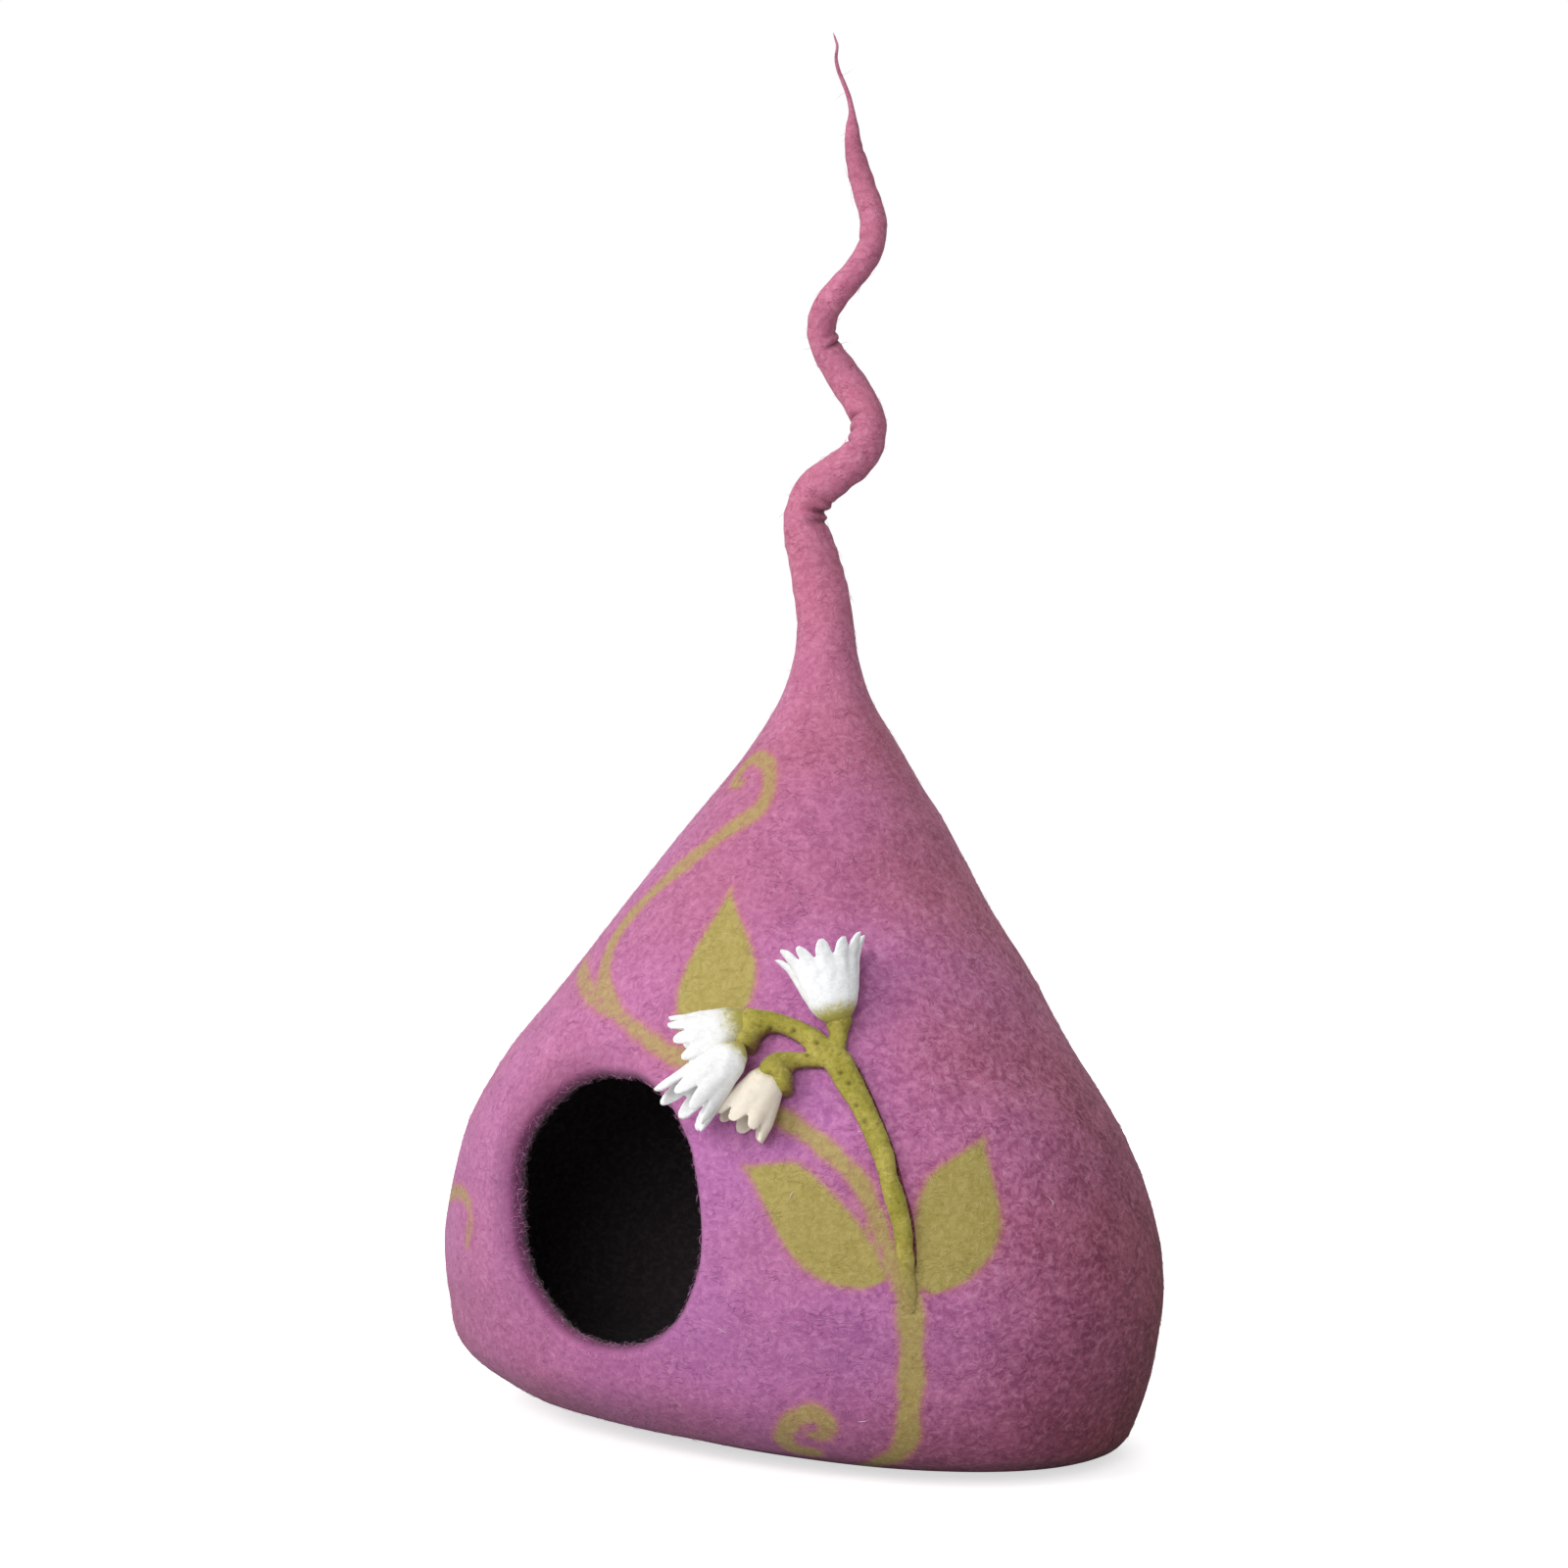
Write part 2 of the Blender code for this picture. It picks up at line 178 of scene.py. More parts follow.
# ---- Shell: one seamless hollow of wool felt, wet-felted round a form and dyed orchid to purple. Its
# doorway is cut out and its edge rolled and felted round; the neck is drawn into a solid twisted tail.
# The inside is charcoal. Leaves and tendrils are thin green wool felted flat into the skin. Painted shade
# darkens the right-hand side away from the key light, the foot, the doorway's lip and the tail's creases.
# ----
mm = 0.001
wall = 12 * mm
lip_radius = 7.5 * mm
door_across = math.radians(-96.5)
door_half_angle = math.radians(29.0)
door_height = 160 * mm
door_half_height = 95 * mm
door_power = 2.35             # roundness of the doorway's oval
solid_from = 420 * mm         # height from which the neck's wall thickens
neck_top = 538 * mm

# height, centre x, half-width x, centre y, half-depth y in mm, roundness (2 is an ellipse)
body_rows = np.array((
    (0, 19, 171, 35, 104, 2.2), (4, 13, 195, 26, 117, 2.2), (10, 5, 212, 20, 128, 2.2),
    (18, -8, 233, 11, 143, 2.2), (42, -24, 258, 9, 163, 2.2), (75, -24, 267, 7, 166, 2.2),
    (110, -21, 269, 4, 170, 2.2), (150, -17, 261, -1, 171, 2.2), (200, -15, 238, -5, 171, 2.2),
    (250, -13, 203, -7, 155, 2.2), (300, -6, 163, -4, 133, 2.2), (350, -2, 127, -2, 110, 2.1),
    (400, 3, 90, 2, 83, 2.1), (445, 7, 58, 5, 55, 2.0), (485, 8, 33, 7, 32, 2.0),
    (515, 8, 22, 8, 22, 2.0), (540, 8, 18.8, 7, 18.8, 2.0),
), dtype=float)

# x, y, z and radius in mm, from the neck to the tip
tail_rows = np.array((
    (8, 7, 540, 18.8), (6, 5, 561, 18.1), (2, 2, 581, 16.8), (-2.5, -0.5, 598, 15.6),
    (-1.5, -1, 614, 14.8), (6, 0.5, 628, 14.1), (19.5, 4, 638, 13.5), (31, 10, 647.5, 13.0),
    (35, 17.5, 661, 12.5), (30, 24, 676.5, 12.2), (20, 26, 692.5, 11.8), (10, 23, 708, 11.4),
    (4, 16, 722, 10.7), (3, 9.5, 735.5, 10.0), (8.5, 5.5, 748, 9.5), (18.5, 6, 759.5, 9.3),
    (28.5, 10.5, 771, 9.2), (34.5, 17.5, 784, 9.2), (34.5, 25, 800, 9.1), (30, 29, 817, 8.8),
    (24.5, 28, 833, 8.3), (22, 24, 848, 7.4), (21.5, 20, 862, 5.9), (22, 18.3, 872.5, 4.5),
    (22.2, 18.0, 878, 3.1), (21.8, 17.8, 884, 2.0), (20.3, 16.6, 893, 1.6), (17.0, 14.8, 903, 1.4),
    (14.4, 12.9, 911, 1.3), (13.2, 12.0, 919, 1.1), (14.0, 12.2, 927, 0.9), (12.6, 11.4, 933, 0.7),
), dtype=float)
tail_tip = np.array((11.5, 10.8, 936.5)) * mm


def along(rows, steps):
    """Smooth curve through the rows of a table (Catmull-Rom), steps counted in rows."""
    start = np.clip(np.floor(steps).astype(int), 0, len(rows) - 2)
    part = (steps - start)[..., None]
    padded = np.vstack((2 * rows[0] - rows[1], rows, 2 * rows[-1] - rows[-2]))
    first, second, third, fourth = (padded[start + shift] for shift in range(4))
    bend = 2 * first - 5 * second + 4 * third - fourth + part * (3 * (second - third) + fourth - first)
    return second + 0.5 * part * (third - first + part * bend)


body_steps = np.linspace(0, len(body_rows) - 1, 4001)
body_heights = along(body_rows, body_steps)[:, 0] * mm


def section(height):
    """Row of the body's table at a height: its centre, half-widths and roundness."""
    return along(body_rows, np.interp(height, body_heights, body_steps))


def spot(direction, height):
    """A place on the skin, given in degrees and mm, as radians and metres."""
    return np.radians(direction), np.asarray(height) * mm


def unit(vectors):
    """Vectors scaled to length one."""
    return vectors / np.maximum(np.linalg.norm(vectors, axis=-1, keepdims=True), 1e-12)


def skin(direction, height):
    """Points of the outer skin: from the section's centre, go out in the direction by one over the root,
    of the section's roundness, of |cos / half-width| and |sin / half-depth| raised to it and added."""
    row = section(height)
    cos, sin, power = np.cos(direction), np.sin(direction), row[..., 5]
    reach = (np.abs(cos / row[..., 2]) ** power + np.abs(sin / row[..., 4]) ** power) ** (-1 / power)
    x, y = row[..., 1] + reach * cos, row[..., 3] + reach * sin
    return np.stack((x * mm, y * mm, height * np.ones_like(x)), axis=-1)


def outward(direction, height):
    """Outward direction of the skin: across it along the section, crossed with up it along the height."""
    side, rise = 0.002, 0.4 * mm
    across = skin(direction + side, height) - skin(direction - side, height)
    up = skin(direction, height + rise) - skin(direction, np.maximum(height - rise, 0))
    return unit(np.cross(across, up))


def skin_facing(points):
    """Outward direction of the skin beneath points that stand off it: taken at each one's own height and
    in its own direction from the section's centre."""
    row = section(points[:, 2])
    return outward(np.arctan2(points[:, 1] / mm - row[:, 3], points[:, 0] / mm - row[:, 1]), points[:, 2])


def waves(points, count, shortest, longest, seed):
    """Soft lumps between about -1 and 1: plane waves of many lengths and directions, added."""
    random = np.random.default_rng(seed)
    lengths = shortest * (longest / shortest) ** random.random(count)
    headings = unit(random.normal(size=(count, 3))) * (2 * np.pi / lengths)[:, None]
    phases = random.random(count) * 2 * np.pi
    return np.sin(points @ headings.T + phases).sum(axis=-1) * (0.7 / math.sqrt(count / 2))


# Columns of the grid: the doorway's patch first, then finer columns where the leaves are, then the rest.
patch_columns = 64
patch_half = math.radians(39.375)
leaves_end = math.radians(-8)
column_turns = np.concatenate((
    np.linspace(door_across - patch_half, door_across + patch_half, patch_columns, endpoint=False),
    np.linspace(door_across + patch_half, leaves_end, 42, endpoint=False),
    np.linspace(leaves_end, door_across - patch_half + 2 * np.pi, 122, endpoint=False),
))
columns = len(column_turns)
foot_levels = np.array((0, 0.8, 2, 3.5, 5, 7, 9, 11.5, 14, 17.5, 21, 26, 31, 37, 44)) * mm
patch_levels = np.linspace(44, 284, 71) * mm
upper_levels = np.linspace(284, 434, 46) * mm
neck_levels = np.linspace(434, 538, 28) * mm
lining_levels = np.linspace(284, 468, 24) * mm
patch_rows = len(patch_levels) - 1
first_patch_row = len(foot_levels) - 1


def ring_faces(rings):
    """Quads between each closed ring of point numbers and the next."""
    lower, upper = np.array(rings[:-1]), np.array(rings[1:])
    corners = lower, np.roll(lower, -1, axis=1), np.roll(upper, -1, axis=1), upper
    return np.stack(corners, axis=-1).reshape(-1, 4)


def fan(ring, pole):
    """Triangles from the edges of a closed ring of point numbers to a pole's number, or to a number each."""
    return np.stack((ring, np.roll(ring, -1), np.full(len(ring), pole)), axis=1)


def joining_faces(lower, upper, lower_turns, upper_turns):
    """Triangles between two rings with different counts: each edge of one meets the nearest point of the
    other, found from the order of the edges' middles round both rings."""
    low_middle, high_middle = (turns + 0.5 * np.diff(turns, append=turns[0] + 2 * np.pi)
                               for turns in (lower_turns, upper_turns))
    third = upper[np.searchsorted(high_middle, low_middle) % len(upper)]
    other = lower[np.searchsorted(low_middle, high_middle, side="right") % len(lower)]
    return np.vstack((fan(lower, third), fan(upper, other)[:, (1, 0, 2)]))


shell_blocks = []              # the shell's points, each with its direction, height and inside share


def add_points(points, direction, height, inside):
    """Adds points to the shell and gives back their numbers."""
    first = sum(map(len, shell_blocks))
    shape = points.shape[:-1]
    facts = [np.broadcast_to(value, shape)[..., None] for value in (direction, height, inside)]
    shell_blocks.append(np.concatenate((points, *facts), axis=-1).reshape(-1, 6))
    return first + np.arange(len(shell_blocks[-1])).reshape(shape)


def lumps(points):
    """Hand-felted unevenness of the skin in metres: long swells and short dimples."""
    return 0.6 * mm * waves(points, 14, 0.07, 0.2, 3) + 0.16 * mm * waves(points, 26, 0.018, 0.05, 4)


def door_oval(turns, grow=0.0):
    """Direction and height on the doorway's oval, grown outwards by a length: a cosine and a sine, each
    raised to a power below one, which fills the corners a little."""
    front_radius, fill = 163 * mm, 2 / door_power
    wide, tall = (np.sign(wave) * np.abs(wave) ** fill for wave in (np.cos(turns), np.sin(turns)))
    direction = door_across + (door_half_angle + grow / front_radius) * wide
    return direction, door_height + (door_half_height + grow) * tall


def outer_side(direction, height):
    """The skin with its lumps; they fade out towards the flat underside and the neck."""
    points = skin(direction, height)
    fade = np.clip(height / (30 * mm), 0, 1) * np.clip((neck_top - height) / (40 * mm), 0, 1)
    return points + outward(direction, height) * (lumps(points) * fade)[..., None]


def inner_side(direction, height, thickness=None):
    """The lining: behind the skin by the felt's thickness, which grows until the neck is solid."""
    if thickness is None:
        thickness = wall + 3.6 * np.maximum(height - solid_from, 0) ** 2
    points = skin(direction, height) - outward(direction, height) * thickness[..., None]
    points[..., 2] = np.where(height < 1 * mm, wall, points[..., 2])
    return points


def shell_wall(place, levels, inside):
    """One side of the wall as a grid with the doorway's patch left open: point numbers, and its faces."""
    grid = place(*np.broadcast_arrays(column_turns, levels[:, None]))
    numbers = add_points(grid, column_turns, levels[:, None], inside)
    row, column = np.indices((len(levels) - 1, columns))
    hole = (column < patch_columns) & (row >= first_patch_row) & (row < first_patch_row + patch_rows)
    return numbers, ring_faces(numbers)[~hole.ravel()]


outer_levels = np.concatenate((foot_levels, patch_levels[1:], upper_levels[1:], neck_levels[1:]))
inner_levels = np.concatenate((foot_levels, patch_levels[1:], lining_levels[1:]))
outer_numbers, outer_faces = shell_wall(outer_side, outer_levels, 0.0)
inner_numbers, inner_faces = shell_wall(inner_side, inner_levels, 1.0)

# the patch's edge, once round: its columns and rows, and their turns about the doorway's centre
halfway = patch_columns + patch_rows
walk = np.arange(2 * halfway)
edge_columns = np.clip(walk, 0, patch_columns) - np.clip(walk - halfway, 0, patch_columns)
edge_rows = np.clip(walk - patch_columns, 0, patch_rows)
edge_rows -= np.clip(walk - patch_columns - halfway, 0, patch_rows)
edge_directions = column_turns[0] + (column_turns[1] - column_turns[0]) * edge_columns
edge_heights = patch_levels[edge_rows]
door_turns = np.arctan2((edge_heights - door_height) / door_half_height,
                        (edge_directions - door_across) / door_half_angle)
oval_direction, oval_height = door_oval(door_turns)

patch_steps = 9
shares = np.linspace(0, 1, patch_steps + 1)[1:, None]
loop_directions = edge_directions * (1 - shares) + oval_direction * shares
loop_heights = edge_heights * (1 - shares) + oval_height * shares
loop_lip = wall + (2 * lip_radius - wall) * shares * shares
outer_loops = add_points(outer_side(loop_directions, loop_heights), loop_directions, loop_heights, 0.0)
inner_loops = inner_side(loop_directions, loop_heights, loop_lip)
inner_loops = add_points(inner_loops, loop_directions, loop_heights, 1.0)

# the rolled lip: half a turn round a centre line one lip radius behind the skin
lip_steps = 14
swings = (np.pi * np.arange(1, lip_steps) / lip_steps)[:, None, None]
lip_face = outward(oval_direction, oval_height)
lip_point = outer_side(oval_direction, oval_height)
lip_away = skin(*door_oval(door_turns, 4 * mm)) - skin(oval_direction, oval_height)
lip_away = unit(lip_away - lip_face * (lip_away * lip_face).sum(axis=-1, keepdims=True))
lip_bulge = 1 + 0.05 * waves(lip_point, 12, 0.02, 0.06, 8)[None, :, None]
lip_points = lip_point - lip_face * lip_radius + (
    lip_face * np.cos(swings) - lip_away * np.sin(swings) * lip_bulge) * lip_radius
lip_loops = add_points(lip_points, oval_direction, oval_height, np.linspace(0, 1, lip_steps + 1)[1:-1, None])

outer_edge = outer_numbers[first_patch_row + edge_rows, edge_columns]
inner_edge = inner_numbers[first_patch_row + edge_rows, edge_columns]
door_faces = ring_faces([outer_edge, *outer_loops, *lip_loops, *inner_loops[::-1], inner_edge])


def disc(edge_ring, centre, rings, inside, order):
    """Closes a ring with shrinking copies of itself round a centre and a fan at the pole. The order of its
    corners is 1 where it faces up, -1 where it faces down."""
    edge_points = np.concatenate(shell_blocks)[edge_ring, :3]
    scales = np.linspace(1, 0, rings + 1)[1:-1, None, None]
    shrunk = centre + (edge_points - centre) * scales
    inner_rings = add_points(shrunk, column_turns, edge_points[:, 2], inside)
    pole = add_points(centre, 0.0, centre[2], inside)
    return [ring_faces([edge_ring, *inner_rings])[:, ::order], fan(inner_rings[-1], pole)[:, ::order]]


underside = disc(outer_numbers[0], np.array((19, 35, 0)) * mm, 9, 0.0, -1)
cabin_floor = disc(inner_numbers[0], np.array((19, 35, 12)) * mm, 7, 1.0, 1)
crown = np.concatenate(shell_blocks)[inner_numbers[-1], :3].mean(axis=0) + (0, 0, 6 * mm)
cabin_peak = disc(inner_numbers[-1], crown, 3, 1.0, -1)


def travelled(points):
    """How far along a line each of its points lies."""
    return np.concatenate(((0,), np.cumsum(np.linalg.norm(np.diff(points, axis=0), axis=1))))


# tail: rings carried along its centre line without twisting, with creases where it was bent
tail_around = 64
tail_count = 260
tail_steps = np.linspace(0, len(tail_rows) - 1, tail_count)
tail_line = along(tail_rows, tail_steps)
tail_centres, tail_radii = tail_line[:, :3] * mm, tail_line[:, 3] * mm
tail_forward = unit(np.gradient(tail_centres, axis=0))
tail_forward[0] = (0, 0, 1)
tail_inner = unit(np.gradient(tail_forward, axis=0))
tail_side = np.empty((tail_count, 3))
side = np.array((math.cos(column_turns[0]), math.sin(column_turns[0]), 0))
for step, forward in enumerate(tail_forward):
    side = tail_side[step] = unit(side - forward * side.dot(forward))
tail_cross = np.cross(tail_forward, tail_side)
tail_turns = 2 * np.pi * np.arange(tail_around) / tail_around
spokes = (tail_side[:, None] * np.cos(tail_turns)[None, :, None]
          + tail_cross[:, None] * np.sin(tail_turns)[None, :, None])
tail_skin = tail_centres[:, None] + spokes * tail_radii[:, None, None]
inner_share = np.clip((spokes * tail_inner[:, None]).sum(axis=-1) * 0.85 + 0.15, 0, 1) ** 1.6
# where along the tail each crease lies (rows of its table), how wide (mm) and how deep (share of radius)
creases = ((3.6, 3.4, 0.20), (4.2, 3.2, 0.30), (4.9, 2.6, 0.10), (7.5, 2.2, 0.32), (8.25, 2.4, 0.36),
           (9.0, 2.2, 0.28), (12.3, 1.8, 0.28), (12.9, 1.8, 0.12), (17.6, 2.2, 0.10), (21.6, 1.6, 0.10))
travel = travelled(tail_centres)
crease_depth = sum(
    depth * np.exp(-((travel - np.interp(place, tail_steps, travel)) / (width * mm)) ** 2)
    for place, width, depth in creases)
tail_creased = crease_depth[:, None] * inner_share
tail_uneven = (0.03 + 0.02 * np.clip(travel / 0.2 - 1, 0, 1)) * np.clip(travel / 0.03, 0, 1)
tail_lumps = tail_uneven[:, None] * waves(tail_skin, 18, 0.010, 0.04, 6)
tail_reach = tail_radii[:, None] * (1 + tail_lumps - tail_creased)
tail_skin = tail_centres[:, None] + spokes * tail_reach[..., None]
tail_numbers = add_points(tail_skin, tail_turns + column_turns[0], tail_centres[:, 2:], 0.0)
tip = add_points(tail_tip, 0.0, tail_tip[2], 0.0)
neck_faces = joining_faces(outer_numbers[-1], tail_numbers[0], column_turns - column_turns[0], tail_turns)

shell_points, shell_places = np.split(np.concatenate(shell_blocks), 2, axis=1)
shell_direction, shell_height, shell_inside = shell_places.T


# green wool on the skin: spines and lines as direction in degrees and height in mm
def on_skin(rows):
    """Points of a line on the skin, a millimetre apart, and how far along each lies (0 to 1)."""
    fine = along(np.array(rows, dtype=float), np.linspace(0, len(rows) - 1, 60 * len(rows)))
    points = skin(*spot(*fine.T))
    length = travelled(points)
    wanted = np.linspace(0, length[-1], int(length[-1] / mm))
    return np.stack([np.interp(wanted, length, points[:, k]) for k in range(3)], axis=1), wanted / length[-1]


# leaf: base, middle and tip of its spine; half-width on its left and right (mm) and where each is widest
# (share of its length)
leaves = (
    ((-73.5, 262), (-75.2, 307), (-80.6, 364), (27, 27), (0.40, 0.42)),
    ((-36.8, 133), (-46.8, 165), (-60.0, 198.5), (27, 22.5), (0.38, 0.72)),
    ((-31.0, 126), (-27.2, 166), (-19.0, 217), (23, 30), (0.58, 0.44)),
)
# line: half-width (mm), how much green wool covers the pink (0 to 1), then its points
lines = (
    (7.4, 0.85, ((-33.5, 150), (-33.4, 125), (-33.1, 107), (-32.6, 76), (-32.7, 52), (-33.4, 32), (-37.8, 17),
                 (-48, 5))),
    (5.4, 0.75, ((-54, 229), (-51.5, 226), (-46.8, 216), (-42.9, 203.8), (-39.9, 192), (-38.1, 176),
                 (-36.7, 158), (-35.3, 140), (-34.3, 122))),
    (5.2, 0.53, ((-70, 254), (-79.2, 260), (-92.4, 272), (-107.1, 286))),
    (6.1, 0.54, ((-107.1, 286), (-115, 297), (-120.4, 309), (-124.4, 324), (-124.8, 340), (-119.4, 358),
                 (-112.4, 373), (-96.1, 399), (-82.7, 415), (-83.7, 431), (-92.5, 444), (-107.4, 448),
                 (-116.1, 443), (-115, 432), (-107.8, 431))),
    (5.6, 0.42, ((-137.4, 310), (-122.8, 296), (-109, 285))),
    (5.0, 0.36, ((-160, 119), (-158.5, 133), (-154.5, 145), (-149.0, 152), (-143.6, 154), (-139.8, 149.5),
                 (-138.6, 141), (-138.9, 131), (-139.6, 121))),
    (6.0, 0.72, ((-51.2, 18), (-54.9, 19), (-55.3, 26), (-51.9, 39), (-48, 47), (-45.3, 44), (-45.1, 38),
                 (-47.1, 32), (-48.7, 32))),
)


def leaf_depth(points, base, middle, tip, halves, widest):
    """How far inside a leaf each point lies, in mm: its half-width there less the distance from its spine.
    The half-width rises like a root of a sine to the widest place, and falls half like a cosine and half
    like a smooth step to the drawn-out tip."""
    ends = skin(*spot(*np.transpose((base, middle, tip))))
    face = outward(*spot(*middle))
    to_middle, to_tip = ends[1:] - ends[0]
    ahead = unit(to_tip - face * to_tip.dot(face))
    across = np.cross(ahead, face)
    offset, length = points - ends[0], to_tip.dot(ahead)
    share = offset @ ahead / length
    bow, peak = to_middle.dot(across), np.clip(to_middle.dot(ahead) / length, 0.2, 0.8)
    spine = bow * np.clip(1 - ((share - peak) / np.where(share < peak, peak, 1 - peak)) ** 2, -1, 1)
    lateral = offset @ across - spine
    side = (lateral > 0).astype(int)
    widest = np.array(widest)[side]
    rising = np.sin(0.5 * np.pi * np.clip(share / widest, 0, 1)) ** 0.62
    left_over = np.clip((1 - share) / (1 - widest), 0, 1)
    falling = 0.5 * np.sin(0.5 * np.pi * left_over) ** 1.12 + 0.5 * left_over ** 2 * (3 - 2 * left_over)
    depth = np.array(halves)[side] * mm * np.where(share < widest, rising, falling) - np.abs(lateral)
    past_ends = np.maximum(share - 1, -share) * length
    depth = np.where(past_ends > 0, -np.hypot(past_ends, lateral), depth * 0.85)
    near = np.abs(offset @ face) < 60 * mm
    return np.where(near, depth, -1.0) / mm


def line_depth(points, half_width, rows):
    """How far inside a felted line each point lies, in mm: its half-width less the distance to its middle."""
    line, share = on_skin(rows)
    taper = half_width * mm * (1 - 0.35 * share ** 3) * (1 + 0.12 * np.sin(share * 31 + half_width))
    best = np.full(len(points), -1.0)
    for block in range(0, len(line), 40):
        gaps = np.linalg.norm(points[:, None] - line[None, block:block + 40], axis=-1)
        best = np.maximum(best, (taper[None, block:block + 40] - gaps).max(axis=1))
    return best / mm


def green_wool(points, outside):
    """For each point, the depth inside the nearest green shape (mm) and how much that shape covers."""
    depth, cover = np.full(len(points), -12.0), np.full(len(points), 0.6)
    spots = points[outside]
    parts = [(leaf_depth(spots, *leaf), 1.0) for leaf in leaves]
    parts += [(line_depth(spots, half_width, rows), covers) for half_width, covers, rows in lines]
    depths = np.stack([part for part, _ in parts])
    covers = np.array([covers for _, covers in parts])
    weights = np.exp(np.clip(depths, -12, 12) / 1.5)
    depth[outside] = np.clip(depths.max(axis=0), -12, 12)
    cover[outside] = (weights * covers[:, None]).sum(axis=0) / weights.sum(axis=0)
    return depth, cover


facing = (shell_inside < 0.5) & (shell_height < 0.47) & (np.cos(shell_direction - math.radians(-80)) > 0.2)
shell_green, shell_cover = green_wool(shell_points, facing)


def tone_and_painted_shade(points):
    """How rosy the colour is (up the neck and tail, and round to the right) and how deep and brown it is
    (at the right, most of all low down), and how coarsely flecked, each 0 to 1, from the place alone:
    straight ramps eased by waves. The deep share is partly the wool's own maroon and partly painted shade:
    on the right, turned from the key light, and at the foot by the floor."""
    x, y, z = points.T
    right = (x * 0.79 + y * 0.62) / 0.25      # about 1 at the edge on the camera's right
    drift = waves(points, 10, 0.10, 0.3, 11)
    rosy = 0.10 + 0.9 * np.clip((z - 0.19) / 0.4, 0, 1.4) + 0.14 * drift
    rosy += 1.1 * np.clip(right - 0.1, 0, 1) + 0.45 * np.clip(-right - 0.3, 0, 1)
    # deep: partly the wool's own maroon, partly painted shade on the right, the side away from the key light
    deep = np.clip((right - 0.42) / 0.7, 0, 1) * np.clip(1.4 - z / 0.34, 0.2, 1)
    cloud = 0.15 * np.exp(-((right + 0.05) / 0.4) ** 2 - ((z - 0.39) / 0.10) ** 2)
    # foot: painted shade low down, where the floor shades the wool
    foot = np.clip(1 - z / 0.12, 0, 1) ** 1.2
    tail = 0.11 * np.clip((z - 0.62) / 0.08, 0, 1)
    fleck = np.clip(0.15 + 1.2 * right, 0, 1) * np.clip(2.2 - z / 0.27, 0, 1)
    deep += 0.58 * foot + tail + cloud + 0.05 * drift
    return np.clip(rosy, 0, 1), np.clip(deep, 0, 1), fleck


def painted_lip_shade(directions, heights):
    """Painted shade round the doorway, where the rolled lip turns from the light: it grows over a band to the
    edge, at the left and top.
    """
    door_radius, band = 75, 16
    across = (directions - door_across) / door_half_angle
    up = (heights - door_height) / door_half_height
    beyond = (np.abs(across) ** door_power + np.abs(up) ** door_power) ** (1 / door_power) - 1
    near = np.clip(1 - beyond * door_radius / band, 0, 1)
    return near * np.clip(0.5 - 0.9 * across, 0, 1) * np.clip(1.2 + 1.2 * up, 0, 1)


shell_rosy, shell_deep_and_painted_shade, shell_fleck = tone_and_painted_shade(shell_points)
shell_rim_painted_shade = painted_lip_shade(shell_direction, shell_height) * facing
# painted shade in the tail's creases, darker where they are deeper
tail_crease_painted_shade = np.zeros(len(shell_points))
tail_crease_painted_shade[tail_numbers.ravel()] = np.clip(tail_creased.ravel() / 0.24, 0, 1)


def srgb(*channels):
    """A screen colour, 0 to 255, as the linear colour that a shader takes."""
    shares = np.array(channels) / 255
    linear = np.where(shares < 0.04, shares / 12.92, ((shares + 0.055) / 1.055) ** 2.4)
    return *linear.tolist(), 1.0


def felt_shader(name, colour, bump=0.6, grain=1.0):
    """Wool felt. colour() gives the base colour from four wires: slow clouds, tufts drawn out sideways, and
    light and dark fibres. Tufts and fibres also make the relief. A higher grain makes all of it finer."""
    material, tree, shader = new_material(name, {
        "Roughness": 0.95, "Specular IOR Level": 0.1, "Sheen Weight": 0.12, "Sheen Roughness": 0.5})
    place = tree.node("TexCoord", output=3)
    swirl = tree.node("TexNoise", inputs={"Vector": place, "Scale": 90 * grain, "Detail": 2.0}, output=1)
    wander = tree.node("VectorMath", {"operation": "MULTIPLY_ADD"},
                       {0: swirl, 1: (0.010 / grain,) * 3, 2: place})

    def drawn(share):
        """The swirled place squeezed upright, which draws a pattern out sideways."""
        return tree.node("VectorMath", {"operation": "MULTIPLY"}, {0: wander, 1: (1.0, 1.0, share)})

    def noise(vector, scale, detail=2.0, roughness=0.55):
        """Noise between 0 and 1 about a middle value."""
        return tree.node("TexNoise", inputs={"Vector": vector, "Scale": scale * grain, "Detail": detail,
                                             "Roughness": roughness})

    def fibres(vector, scale, gaps, thin=0.03):
        """Lines where the noise passes its middle value, broken where another is low."""
        middle = noise(vector, scale, 1.0)
        line = tree.node("Math", {"operation": "ABSOLUTE"}, {0: middle - 0.5}).ramp(0.0, thin, 1.0, 0.0)
        return line * gaps.ramp(0.47, 0.60)

    cloud = noise(place, 38, 3.0, 0.6)
    tuft = noise(drawn(1.25), 215, 4.0, 0.66)
    light = fibres(wander, 150, tuft) * 0.6 + fibres(wander, 95, noise(place, 110), 0.02) * 0.6
    dark = fibres(drawn(2.6), 85, noise(place, 60), 0.03)
    colour(tree, cloud, tuft, light, dark).into(shader, "Base Color")
    relief = {"Strength": bump, "Distance": 0.0022 / grain, "Height": tuft * 0.7 + light * 0.22 - dark * 0.2}
    tree.node("Bump", inputs=relief).into(shader, "Normal")
    return material


def fact(tree, label):
    """A number that the mesh holds for each point."""
    return tree.node("Attribute", {"attribute_name": label}, output=2)


def layered(wool, *coats):
    """Wool with other colours laid over it in turn, each as far as its wire says."""
    for amount, colour in coats:
        wool = amount.paint(wool, colour)
    return wool


